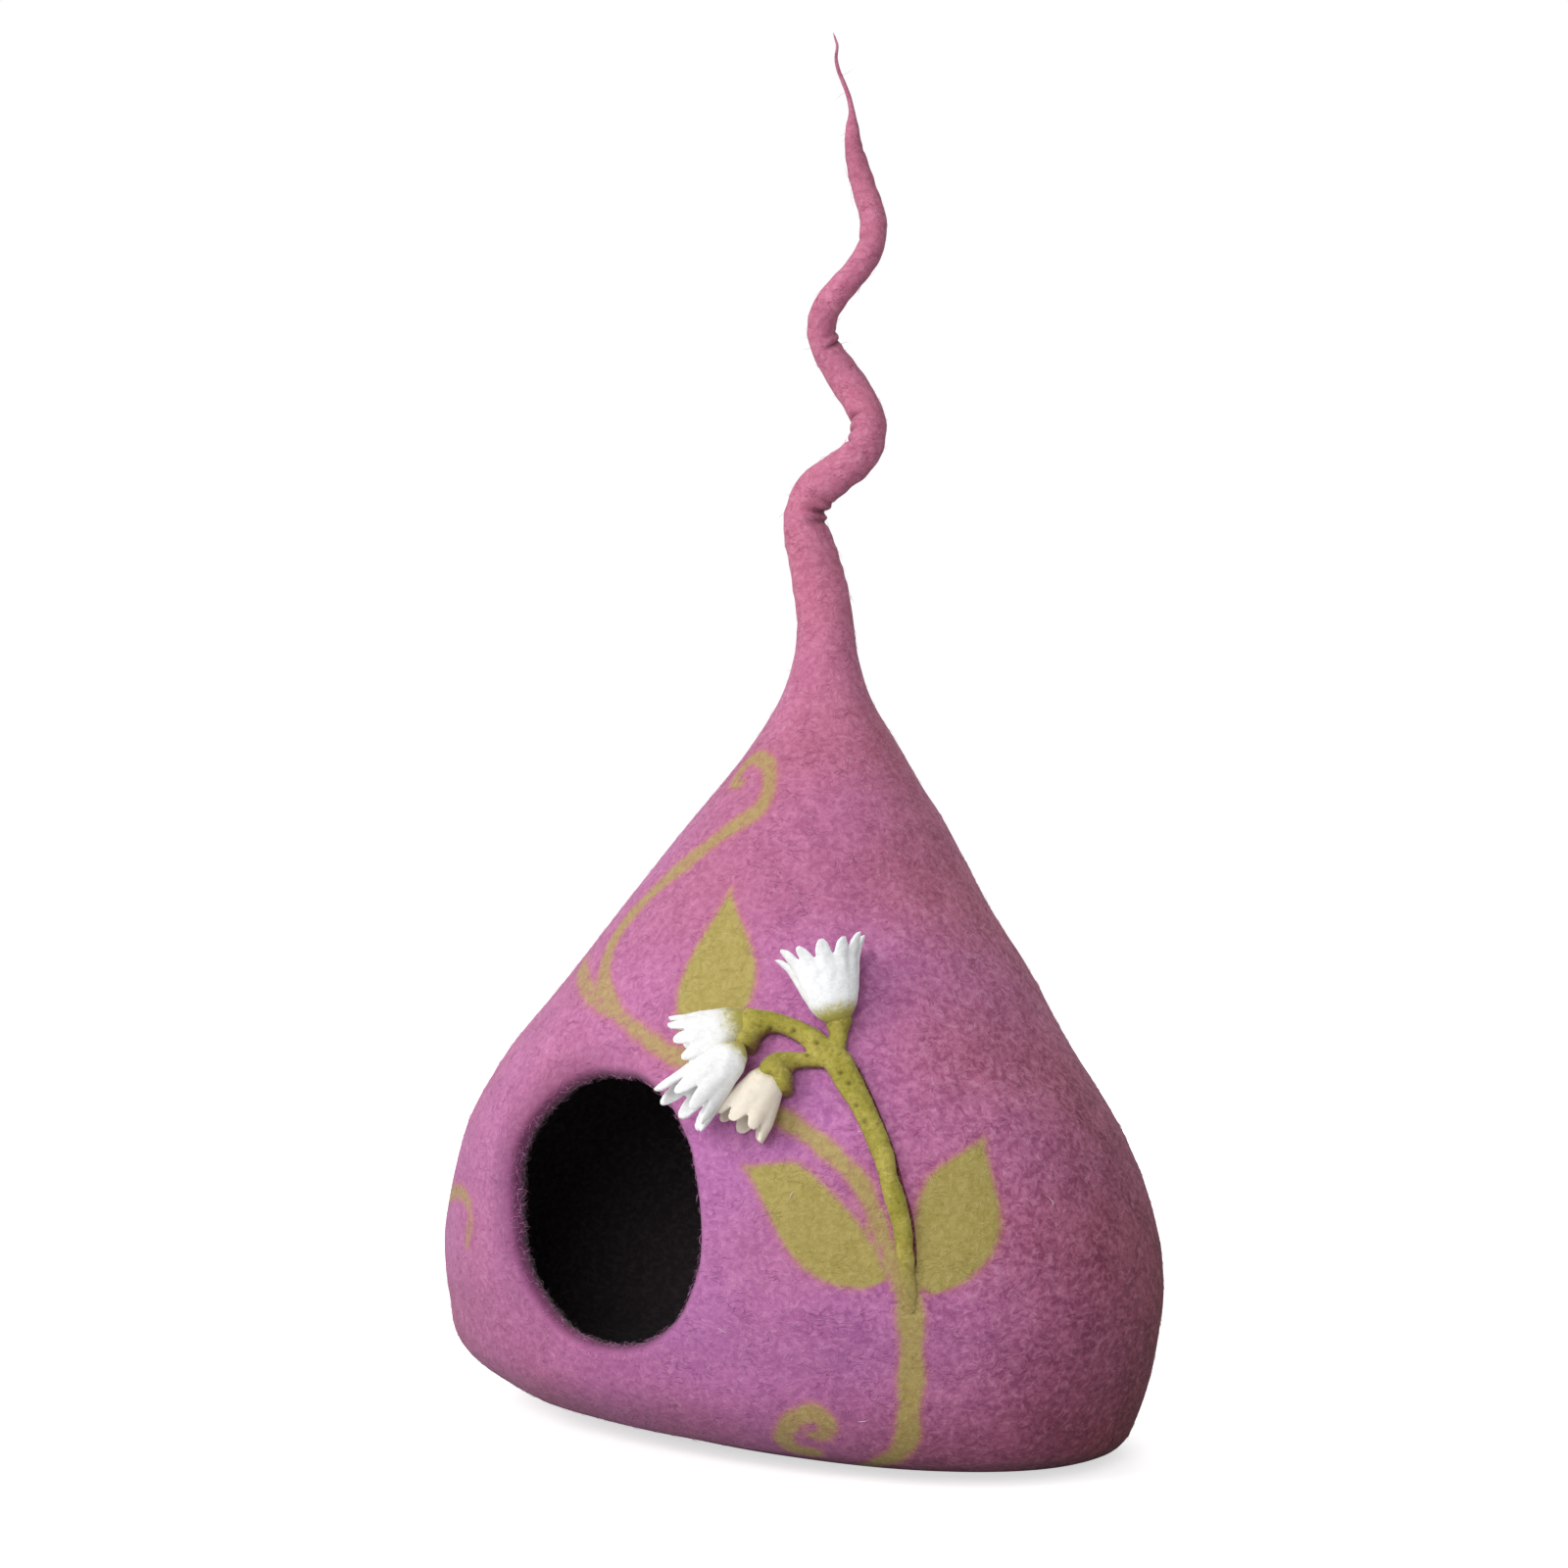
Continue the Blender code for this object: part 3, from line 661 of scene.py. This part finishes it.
def shell_colour(tree, cloud, tuft, light, dark):
    """Purple wool blended to pink and to maroon, flecked; green wool over it; charcoal within. The maroon is
    partly painted shade at the right and low down; painted shade also darkens the doorway's lip and the
    tail's creases.
    """
    rosy, deep, fleck, cover = (fact(tree, label) for label in ("rosy", "deep", "fleck", "cover"))
    # the mottle's colours go darker and browner with deep, which is partly painted shade
    shade = deep.paint(rosy.paint(srgb(122, 50, 116), srgb(132, 48, 76)), srgb(66, 24, 34))
    bright = deep.paint(srgb(236, 176, 208), srgb(176, 108, 128))
    hollow, dull = 1 - tuft.ramp(0.36, 0.56), 1 - cloud.ramp(0.3, 0.7)
    edge = fact(tree, "green") + (tuft - 0.5) * 4.5 + (light - dark) * 0.7
    worn = tuft.ramp(0.30, 0.50) * 0.5 + 0.5
    olive = layered(
        tuft.ramp(0.34, 0.66).paint(srgb(164, 151, 80), srgb(180, 168, 98)),
        (dark * 0.26, srgb(128, 114, 54)),
        # the green, too, darker with deep: partly painted shade
        (deep * 0.5, srgb(116, 94, 46)),
        (light * 0.22, srgb(212, 198, 136)))
    inside = fact(tree, "inside") + (tuft - 0.5) * 0.3 + light * 0.05
    charcoal = tuft.ramp(0.4, 0.7).paint(srgb(74, 66, 69), srgb(94, 86, 89))
    return layered(
        rosy.paint(srgb(192, 122, 178), srgb(206, 125, 154)),
        # maroon over it with deep: partly the wool's own, partly painted shade
        (deep, srgb(124, 50, 60)),
        (hollow * (fleck * 0.22 + 0.26) + dull * (fleck * 0.24 + 0.15), shade),
        (dark * 0.42, shade),
        (tuft.ramp(0.52, 0.70) * (fleck * 0.16 + 0.20) + light * 0.22, bright),
        # painted shade on the doorway's lip, at the left and top
        (fact(tree, "rim") * 0.42, srgb(92, 42, 72)),
        (edge.ramp(-5.2, 0.4) * 0.42, srgb(194, 128, 112)),
        (edge.ramp(-2.6, 2.8) * (cover + (1 - cover) * (worn - 0.75) * 2.0) * 0.96, olive),
        # painted shade in the tail's creases
        (fact(tree, "crease") * 0.7, srgb(104, 40, 60)),
        # painted shade on the lip's roll as it turns inwards
        (inside.ramp(0.08, 0.45) * 0.72, srgb(92, 44, 76)),
        (inside.ramp(0.50, 0.68), srgb(104, 84, 94)),
        (inside.ramp(0.74, 0.92), charcoal))


shell_felt = felt_shader("shell_felt", shell_colour)
shell_facts = {"rosy": shell_rosy, "deep": shell_deep_and_painted_shade, "green": shell_green, "cover": shell_cover,
               "inside": shell_inside, "crease": tail_crease_painted_shade, "fleck": shell_fleck, "rim": shell_rim_painted_shade}
shell_faces = [outer_faces, inner_faces[:, ::-1], door_faces, *underside, *cabin_floor, *cabin_peak,
               ring_faces(tail_numbers), fan(tail_numbers[-1], tip), neck_faces]
shell = place_mesh("shell_felted", shell_points, shell_faces, shell_facts, shell_felt)
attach(shell, "root")
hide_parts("shell")


# ---- Stem: a cord of olive wool rolled and needled on to the shell beside the doorway. It forks into a
# short upright branch, a long arching one and a lower one, each ending in a green cup under a bell. ----
# direction in degrees, height, half-width and thickness in mm
stem_strands = (
    ((-33.0, 113, 3.2, 1.8), (-33.2, 124, 4.4, 3.0), (-33.5, 137, 5.0, 5.0), (-33.7, 152, 5.4, 7.5),
     (-34.1, 170, 6.1, 9.5), (-35.0, 188, 6.1, 10.0), (-35.7, 205, 6.2, 10.5), (-36.9, 222, 6.8, 11.0),
     (-38.5, 238, 7.6, 11.5), (-40.6, 252, 8.6, 12.0), (-42.8, 262, 8.4, 11.5), (-45.2, 268, 5.5, 8.0)),
    ((-42.0, 257, 5.5, 8.0), (-45.2, 267, 7.6, 11.0), (-49.0, 275, 6.8, 11.0), (-53.2, 279.5, 6.2, 11.0),
     (-56.6, 281, 6.8, 12.5), (-59.0, 280, 9.0, 15.0), (-61.0, 279, 11.0, 17.5), (-62.6, 279.5, 10.0, 17.0)),
    ((-58.8, 279, 5.5, 12.0), (-60.0, 273, 6.5, 17.0), (-60.4, 268, 7.0, 20.0), (-60.6, 264, 5.5, 20.0)),
    ((-42.5, 258, 3.5, 7.0), (-45.5, 260, 4.2, 9.0), (-48.2, 260, 4.4, 10.0), (-50.6, 258.8, 5.8, 13.0),
     (-52.2, 256.5, 8.5, 18.0), (-53.0, 253, 10.5, 21.0), (-53.3, 249.5, 10.5, 21.5),
     (-53.4, 247, 8.0, 20.0)),
    ((-52.8, 252, 6.0, 19.0), (-52.0, 247, 6.2, 19.5), (-51.5, 242, 4.8, 17.0), (-51.4, 239.5, 3.4, 14.0)),
    ((-42.8, 262, 5.0, 8.0), (-42.1, 268, 5.4, 9.5), (-41.9, 273, 5.2, 10.0), (-42.0, 277, 6.4, 12.5),
     (-42.1, 281, 8.4, 15.5), (-42.2, 284, 7.8, 15.0)),
)
strand_around = 28
stem_sunk = 1.2 * mm           # how far the felted cord sits into the skin
# the dark thread is painted shadow: it stands for the stem's contact shadow along its right edge
shadow_thread_half = 1.05               # half-width of the dark thread at the stem's edge, mm
pit_radius, pit_depth = 1.6 * mm, 0.9 * mm
# direction and height of each pit that a needle left
needle_pits = ((-41.3, 250.9), (-39.9, 244.8), (-39.1, 232.6), (-38.0, 223.9), (-45.9, 267.6), (-47.6, 261.5),
               (-50.8, 275.0), (-56.0, 275.5))


def closed_tube(grid, poles):
    """A grid of rings closed by a fan at each end, to its first and its last pole: points and faces."""
    around = grid.shape[1]
    numbers = np.arange(len(grid) * around).reshape(-1, around)
    ends = [fan(numbers[0], numbers.size)[:, ::-1], fan(numbers[-1], numbers.size + 1)]
    return np.vstack((grid.reshape(-1, 3), poles)), [ring_faces(numbers), *ends]


def strand(rows, shadow_thread=0.0):
    """One strand: rings across its path over the skin, each as wide and thick as its row says. Given a
    half-width in mm as its last argument, it is instead a low thread along the strand's right edge, drawn out
    thin at both
    ends: the dark thread that stands for the stem's contact shadow there."""
    steps = np.linspace(0, len(rows) - 1, 12 * (len(rows) - 1) + 1)
    line = along(np.array(rows, dtype=float), steps)
    place = spot(line[:, 0], line[:, 1])
    middle, face = skin(*place), outward(*place)
    across = unit(np.cross(face, np.gradient(middle, axis=0)))
    half, thick = line[:, 2, None, None] * mm, line[:, 3, None, None] * mm
    if shadow_thread:
        middle = middle - across * (half[:, 0] + 0.3 * mm)
        half = shadow_thread * mm * np.clip(np.minimum(steps, steps[-1] - steps), 0.1, 1)[:, None, None]
        thick = 1.6 * half + stem_sunk
    turns = 2 * np.pi * np.arange(strand_around)[None, :, None] / strand_around
    lift = thick * (0.5 + 0.5 * np.sin(turns)) - stem_sunk
    grid = middle[:, None] + across[:, None] * np.cos(turns) * half + face[:, None] * lift
    return closed_tube(grid, grid[[0, -1]].mean(axis=1))


def read_back(things, label, kind=float, size=1):
    """One value of all the points, corners or faces of a mesh."""
    values = np.empty(len(things) * size, dtype=kind)
    things.foreach_get(label, values)
    return values


def knead(name, points, faces, voxel, smoothing):
    """Works closed shapes into one soft piece: merges them on a fine voxel grid and eases the surface.
    Gives back its points, outward directions and faces, and leaves no object behind."""
    rough = place_mesh(name, points, faces, {}, shell_felt)
    merge = rough.modifiers.new("merge", "REMESH")
    merge.mode = "VOXEL"
    merge.voxel_size = voxel
    ease = rough.modifiers.new("ease", "SMOOTH")
    ease.factor = 0.5
    ease.iterations = smoothing
    worked = bpy.data.meshes.new_from_object(rough.evaluated_get(bpy.context.evaluated_depsgraph_get()))
    spots = read_back(worked.vertices, "co", size=3).reshape(-1, 3)
    normals = read_back(worked.vertices, "normal", size=3).reshape(-1, 3)
    quads = read_back(worked.loops, "vertex_index", int).reshape(-1, 4)
    bpy.data.objects.remove(rough, do_unlink=True)
    bpy.data.meshes.remove(worked)
    return spots, normals, [quads]


def heap(shapes):
    """Several closed shapes as one list of points and faces."""
    points, faces, count = [], [], 0
    for spots, blocks in shapes:
        points.append(spots)
        faces += [block + count for block in blocks]
        count += len(spots)
    return np.vstack(points), faces


stem_points, stem_normals, stem_faces = knead(
    "stem_rough", *heap([strand(rows) for rows in stem_strands]), voxel=1.0 * mm, smoothing=9)
stem_pits = np.zeros(len(stem_points))
for direction, height in needle_pits:
    way = outward(*spot(direction, height))
    gap = stem_points - skin(*spot(direction, height))
    gap = np.linalg.norm(gap - way * (gap @ way)[:, None], axis=1)
    stem_pits += np.exp(-(gap / pit_radius) ** 2) * (stem_normals @ way > 0.1)
stem_lumps = 0.32 * waves(stem_points, 20, 0.010, 0.03, 21) + 0.15 * waves(stem_points, 24, 0.004, 0.009, 22)
stem_points += stem_normals * (stem_lumps * mm - pit_depth * stem_pits)[:, None]


def stem_colour(tree, cloud, tuft, light, dark):
    """Olive wool, yellower in soft clouds, with brown-green flecks and needle pits darkened by painted shade;
    its flanks, where the cord meets the skin, are browner, partly pink wool that the needle drew up and
    partly painted shade; its foot is as pale as the flat stalk that it runs into."""
    flank = fact(tree, "flank") + (tuft - 0.5) * 0.6
    return layered(
        cloud.ramp(0.35, 0.7).paint(srgb(158, 150, 62), srgb(186, 174, 88)),
        ((1 - tuft.ramp(0.32, 0.56)) * 0.4 + dark * 0.4, srgb(108, 94, 34)),
        (light * 0.4, srgb(214, 204, 140)),
        # painted shade in the needle pits
        (fact(tree, "pit") * 0.75, srgb(60, 54, 22)),
        # browner flanks: pink wool drawn in, and painted shade where the cord meets the skin
        (flank.ramp(0.1, 0.9) * 0.65, srgb(126, 74, 62)),
        (fact(tree, "foot"), tuft.ramp(0.36, 0.66).paint(srgb(156, 138, 84), srgb(172, 156, 98))))


stem_felt = felt_shader("stem_felt", stem_colour, bump=0.5, grain=1.6)
# how far each point faces sideways off the skin: where the browner flank, partly painted shade, goes
stem_flank_pink_and_shade = np.clip(1 - (stem_normals * skin_facing(stem_points)).sum(axis=1) / 0.55, 0, 1)
stem_foot = np.clip((152 - stem_points[:, 2] / mm) / 28, 0, 1)
stem_facts = {"pit": np.clip(stem_pits, 0, 1), "flank": stem_flank_pink_and_shade, "foot": stem_foot}
stem = place_mesh("stem_felted", stem_points, stem_faces, stem_facts, stem_felt)
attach(stem, "root")
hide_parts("stem")


def shadow_thread_colour(tree, cloud, tuft, light, dark):
    """Wine-dark wool laid along the stem's right edge: painted contact shadow of the stem."""
    return (tuft.ramp(0.35, 0.65) + light * 0.3).paint(srgb(80, 34, 40), srgb(128, 62, 76))


shadow_thread_wool = felt_shader("shadow_thread_wool", shadow_thread_colour, bump=0.4, grain=1.6)
# a dark thread along the main stem's right edge, standing for its contact shadow
stem_shadow_thread = place_mesh("stem_shadow_thread", *strand(stem_strands[0][2:-1], shadow_thread=shadow_thread_half), {}, shadow_thread_wool)
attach(stem_shadow_thread, "root")


# ---- Bells: four flowers of white felt, each a cup worked round a finger, its rim cut into 8 to 12 lobes
# and rubbed round, sewn by its base to a branch. The lower one is creamier. ----
# name, direction, height, stand-off, bearing in the skin's plane, tilt outwards, length, mouth
# half-width over length, depth of the notches over length, flare, lobes round it (degrees), cream,
# how far the green stain reaches (share of length), seed
bells = (
    ("bell_top", -42.1, 280, 9.5, 105, 12, 50, 0.50, 0.22, 0.22,
     (4, 36, 60, 92, 122, 150, 178, 220, 244, 272, 300, 330), 0.0, 0.28, 31),
    ("bell_left", -61.4, 281, 10, 211, 6, 48, 0.45, 0.24, 0.0,
     (10, 50, 84, 120, 155, 200, 245, 285, 325), 0.15, 0.42, 32),
    ("bell_middle", -60.2, 263.0, 17, 241, 16, 60, 0.36, 0.30, 0.0,
     (12, 50, 92, 132, 172, 215, 260, 305, 338), 0.1, 0.20, 33),
    ("bell_lower", -53.6, 253, 8.5, 246, 5, 45, 0.46, 0.22, -0.1,
     (5, 50, 90, 130, 172, 215, 260, 310), 1.0, 0.26, 34),
)
bell_thick = 3.6 * mm
bell_flat = 0.72               # depth of a bell over its width
bell_around = 216
# along the bell (0 base, 1 rim), half-width over that of the mouth
bell_profile = np.array(((0.00, 0.18), (0.03, 0.32), (0.09, 0.45), (0.20, 0.58), (0.40, 0.71), (0.60, 0.82),
                         (0.80, 0.92), (1.00, 1.00)))


def bell_surface(direction, height, stand_off, bearing, tilt, length, width, notch, flare, lobes, seed):
    """Closed cup. Round it by an angle and along it by a share: the share stops short between lobes, by
    the notch times a power of one less the cosine of a quarter turn from the lobe's middle to its edge, so
    lobes are blunt and notches sharp; creases run down from the notches. The inside follows a wall's
    thickness behind, joined over a round rim."""
    random = np.random.default_rng(seed)
    face = outward(*spot(direction, height))
    right = unit(np.cross((0, 0, 1), face))
    up = np.cross(face, right)
    heading, lean = math.radians(bearing), math.radians(tilt)
    flat_aim = right * math.cos(heading) + up * math.sin(heading)
    axis = flat_aim * math.cos(lean) + face * math.sin(lean)
    broad = unit(np.cross(face, flat_aim))
    deep = np.cross(axis, broad)
    base = skin(*spot(direction, height)) + face * stand_off * mm

    angle = 2 * np.pi * np.arange(bell_around) / bell_around
    middles = np.radians(lobes)
    away = (angle[:, None] - middles + np.pi) % (2 * np.pi) - np.pi
    lobe = np.abs(away).argmin(axis=1)
    offset = away[np.arange(bell_around), lobe]
    gaps = np.diff(middles, append=middles[0] + 2 * np.pi)
    edge = np.where(offset > 0, gaps[lobe], gaps[lobe - 1]) / 2
    ridge = np.cos(0.5 * np.pi * np.clip(np.abs(offset) / edge, 0, 1))
    reach = 1 - notch * (1 - ridge) ** 1.3 - notch * random.uniform(0, 0.3, len(lobes))[lobe]
    spread = flare + random.uniform(-0.06, 0.06, len(lobes))[lobe]
    outer_shares = np.concatenate((np.linspace(0, 0.2, 8), np.linspace(0.2, 1, 30)[1:]))[:, None]
    inner_shares = np.linspace(0.985, 0.2, 26)[:, None]

    def cup(part, inset):
        """One side of the cup: its rings at shares of the way, set in by the wall's thickness."""
        place = part * reach
        steps = np.interp(place, bell_profile[:, 0], np.arange(len(bell_profile)))
        half = along(bell_profile, steps)[..., 1] * width * length * mm
        beyond = np.clip((place - 0.7) / 0.3, 0, 1) ** 1.5
        crease = 0.08 * (ridge - 0.64) * np.clip(place / 0.8, 0, 1) ** 2
        half = half * (1 + crease) * (1 + spread * beyond)
        half = np.maximum(half - inset * (0.75 + 0.25 * ridge), 0.6 * mm)
        aside = broad * (np.cos(angle) * half)[..., None]
        aside = aside + deep * (np.sin(angle) * half)[..., None] * bell_flat
        return base + axis * (place * length * mm)[..., None] + aside

    grid = np.concatenate((cup(outer_shares, 0.0), cup(inner_shares, bell_thick)))
    return *closed_tube(grid, (base - axis * 2.5 * mm, grid[-1].mean(axis=0))), base, axis


def bell_colour(tree, cloud, tuft, light, dark):
    """White wool, greyer in its hollows, creamy where the piece says, green where it meets the stem."""
    stained = fact(tree, "greened") + (tuft - 0.5) * 0.9 + (light - dark) * 0.1
    return layered(
        (tuft.ramp(0.35, 0.6) + light * 0.3).paint(srgb(238, 240, 242), srgb(250, 252, 254)),
        (fact(tree, "cream") * (0.40 + cloud * 0.4), srgb(230, 212, 180)),
        (stained.ramp(0.15, 0.95), srgb(172, 164, 84)))


bell_felt = felt_shader("bell_felt", bell_colour, bump=0.22, grain=1.6)
bell_work = []
for name, *sizes, cream, stain, seed in bells:
    points, faces, base, axis = bell_surface(*sizes, seed)
    length = sizes[5]
    points, normals, faces = knead(name + "_rough", points, faces, voxel=0.75 * mm, smoothing=5)
    share = (points - base) @ axis / (length * mm)
    points = points + normals * (0.17 * mm * waves(points, 22, 0.006, 0.02, seed))[:, None]
    greened = np.clip(1.15 - share / stain, 0, 1)
    facts = {"cream": np.full(len(points), cream), "greened": greened}
    bell = place_mesh(name + "_felted", points, faces, facts, bell_felt)
    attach(bell, "root")
    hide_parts(name)
    bell_work.append((points, faces, facts))


# ---- Loose fibres: wool hairs that the felting left lying on the surface or standing a little off it, and
# the denser fuzz of the doorway's lip. They take the colour of the wool below, only lighter; a few long
# white ones strayed on to the shell. ----
tossing = np.random.default_rng(51)


def strewn(points, faces, facts, count, wanted=None):
    """Spots spread evenly over a surface by area: places, outward directions, and facts read there."""
    corners = np.vstack([block[:, (0, step, step + 1)]
                         for block in faces for step in range(1, block.shape[1] - 1)])
    if wanted is not None:
        corners = corners[wanted[corners].all(axis=1)]
    first, second, third = (points[corners[:, k]] for k in range(3))
    facing = np.cross(second - first, third - first)
    area = np.linalg.norm(facing, axis=1)
    chosen = tossing.choice(len(corners), count, p=area / area.sum())
    weights = tossing.dirichlet((1, 1, 1), count)
    spots = (points[corners[chosen]] * weights[..., None]).sum(axis=1)
    read = {label: (values[corners[chosen]] * weights).sum(axis=1) for label, values in facts.items()}
    return spots, unit(facing[chosen]), read


def joined(blocks):
    """Several blocks of strewn spots as one."""
    spots, normals = (np.vstack([block[part] for block in blocks]) for part in range(2))
    facts = {label: np.concatenate([block[2][label] for block in blocks]) for label in blocks[0][2]}
    return spots, normals, facts


def tossed(count, *ranges):
    """For each fibre its length, lift and thickness, each between the two limits given in mm."""
    return [tossing.uniform(low, high, count) * mm for low, high in ranges]


def hairs(spots, normals, lengths, lifts, thickness):
    """Thin tapering fibres: from a root just under the surface each runs along it in a random direction,
    bends sideways with the square of the way, and rises like half a sine. Three-sided, closed, pointed."""
    count = len(spots)
    ahead = unit(np.cross(normals, tossing.normal(size=(count, 3))))
    side = np.cross(normals, ahead)
    curl = tossing.normal(0, 0.45, count)
    way = np.array((0.0, 0.35, 0.7, 1.0))[:, None]
    rise = np.sin(np.pi * 0.8 * way) * lifts - 0.25 * mm * (way == 0)
    bend = side * (lengths * curl * way * way)[..., None]
    middles = spots + ahead * (lengths * way)[..., None] + bend + normals * rise[..., None]
    turns = 2 * np.pi * np.arange(3)[:, None, None] / 3
    halves = np.array((1.0, 0.8, 0.5))[:, None] * thickness / 2
    rings = middles[:3, None] + (side * np.cos(turns) + normals * np.sin(turns)) * halves[:, None, :, None]
    made = np.concatenate((rings.reshape(9, count, 3), middles[3:])).swapaxes(0, 1).reshape(-1, 3)
    numbers = np.arange(9).reshape(3, 3)
    caps = np.vstack((fan(numbers[2], 9), (0, 2, 1)))
    first = fibre_points * np.arange(count)[:, None, None]
    return made, [(block + first).reshape(-1, block.shape[1]) for block in (ring_faces(numbers), caps)]


def fibre_wool(name, colour):
    """Plain soft wool for single fibres."""
    material, tree, shader = new_material(name, {"Roughness": 0.9, "Specular IOR Level": 0.15})
    colour(tree).into(shader, "Base Color")
    return material


def strew(name, spots, normals, facts, sizes, material, slot):
    """One piece of loose fibres, with the facts of the wool below on every point."""
    points, faces = hairs(spots, normals, *sizes)
    facts = {label: np.repeat(values, fibre_points) for label, values in facts.items()}
    piece = place_mesh(name, points, faces, facts, material)
    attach(piece, "root")


def shell_fibre_colour(tree):
    """The shell's colour, paler, with its maroon share that is partly painted shade, and with the leaves'
    green, the lip's grey and the strays' white over it.
    """
    return layered(
        fact(tree, "rosy").paint(srgb(222, 152, 208), srgb(228, 150, 180)),
        # paler maroon where the shell's deep share lies, which is partly painted shade
        (fact(tree, "deep"), srgb(170, 102, 124)),
        (fact(tree, "green").ramp(-1.0, 1.5), srgb(206, 194, 122)),
        (fact(tree, "inside").ramp(0.4, 0.75), srgb(138, 116, 126)),
        (fact(tree, "white"), srgb(250, 246, 248)))


fibre_points = 10
# the skin and then the lip: where the fibres lie, how many, and the least and most of their length, lift
# and thickness in mm
strewn_wool = (
    ((shell_inside < 0.85) & (shell_points[:, 2] > 12 * mm), 6500, (4, 11), (0.15, 0.7), (0.16, 0.34)),
    ((shell_inside > 0.3) & (shell_inside < 0.97), 1100, (3, 8), (0.5, 1.8), (0.2, 0.36)),
)
shell_spots, shell_sizes = [], []
for wanted, count, *ranges in strewn_wool:
    spots, normals, facts = strewn(shell_points, shell_faces, shell_facts, count, wanted)
    shell_spots.append((spots, normals, {**facts, "white": np.zeros(count)}))
    shell_sizes.append(tossed(count, *ranges))
# direction in degrees and height of the stray white fibres; their length, lift and thickness
strays = np.array(((-39.5, 220.3), (-51.2, 180.0), (-38.8, 44.5), (-63.9, 92.9), (-11.3, 174.6)))
stray_size = np.array((6, 0.8, 0.6)) * mm
stray_facts = {label: np.full(len(strays), float(label == "white")) for label in shell_spots[0][2]}
shell_spots.append((skin(*spot(*strays.T)), outward(*spot(*strays.T)), stray_facts))
shell_sizes.append(np.repeat(stray_size[:, None], len(strays), axis=1))
strew("shell_loose_fibres", *joined(shell_spots), np.concatenate(shell_sizes, axis=1),
      fibre_wool("shell_fibre", shell_fibre_colour), "shell_felt")


def stem_fibre_colour(tree):
    """Pale olive, with painted shade at the needle pits."""
    return fact(tree, "pit").paint(srgb(206, 196, 128), srgb(150, 140, 70))


stem_count = 900
stem_spots = strewn(stem_points, stem_faces, stem_facts, stem_count)
strew("stem_loose_fibres", *stem_spots, tossed(stem_count, (2, 5), (0.2, 0.9), (0.12, 0.22)),
      fibre_wool("stem_fibre", stem_fibre_colour), "stem_felt")


def bell_fibre_colour(tree):
    """White to cream, green at the base."""
    white = fact(tree, "cream").paint(srgb(250, 251, 253), srgb(240, 228, 204))
    return fact(tree, "greened").ramp(0.3, 0.9).paint(white, srgb(206, 200, 130))


bell_count = 220               # on each bell
bell_spots = joined([strewn(*work, bell_count) for work in bell_work])
strew("bell_loose_fibres", *bell_spots, tossed(len(bell_spots[0]), (1.5, 3.5), (0.2, 0.8), (0.10, 0.18)),
      fibre_wool("bell_fibre", bell_fibre_colour), "bell_felt")
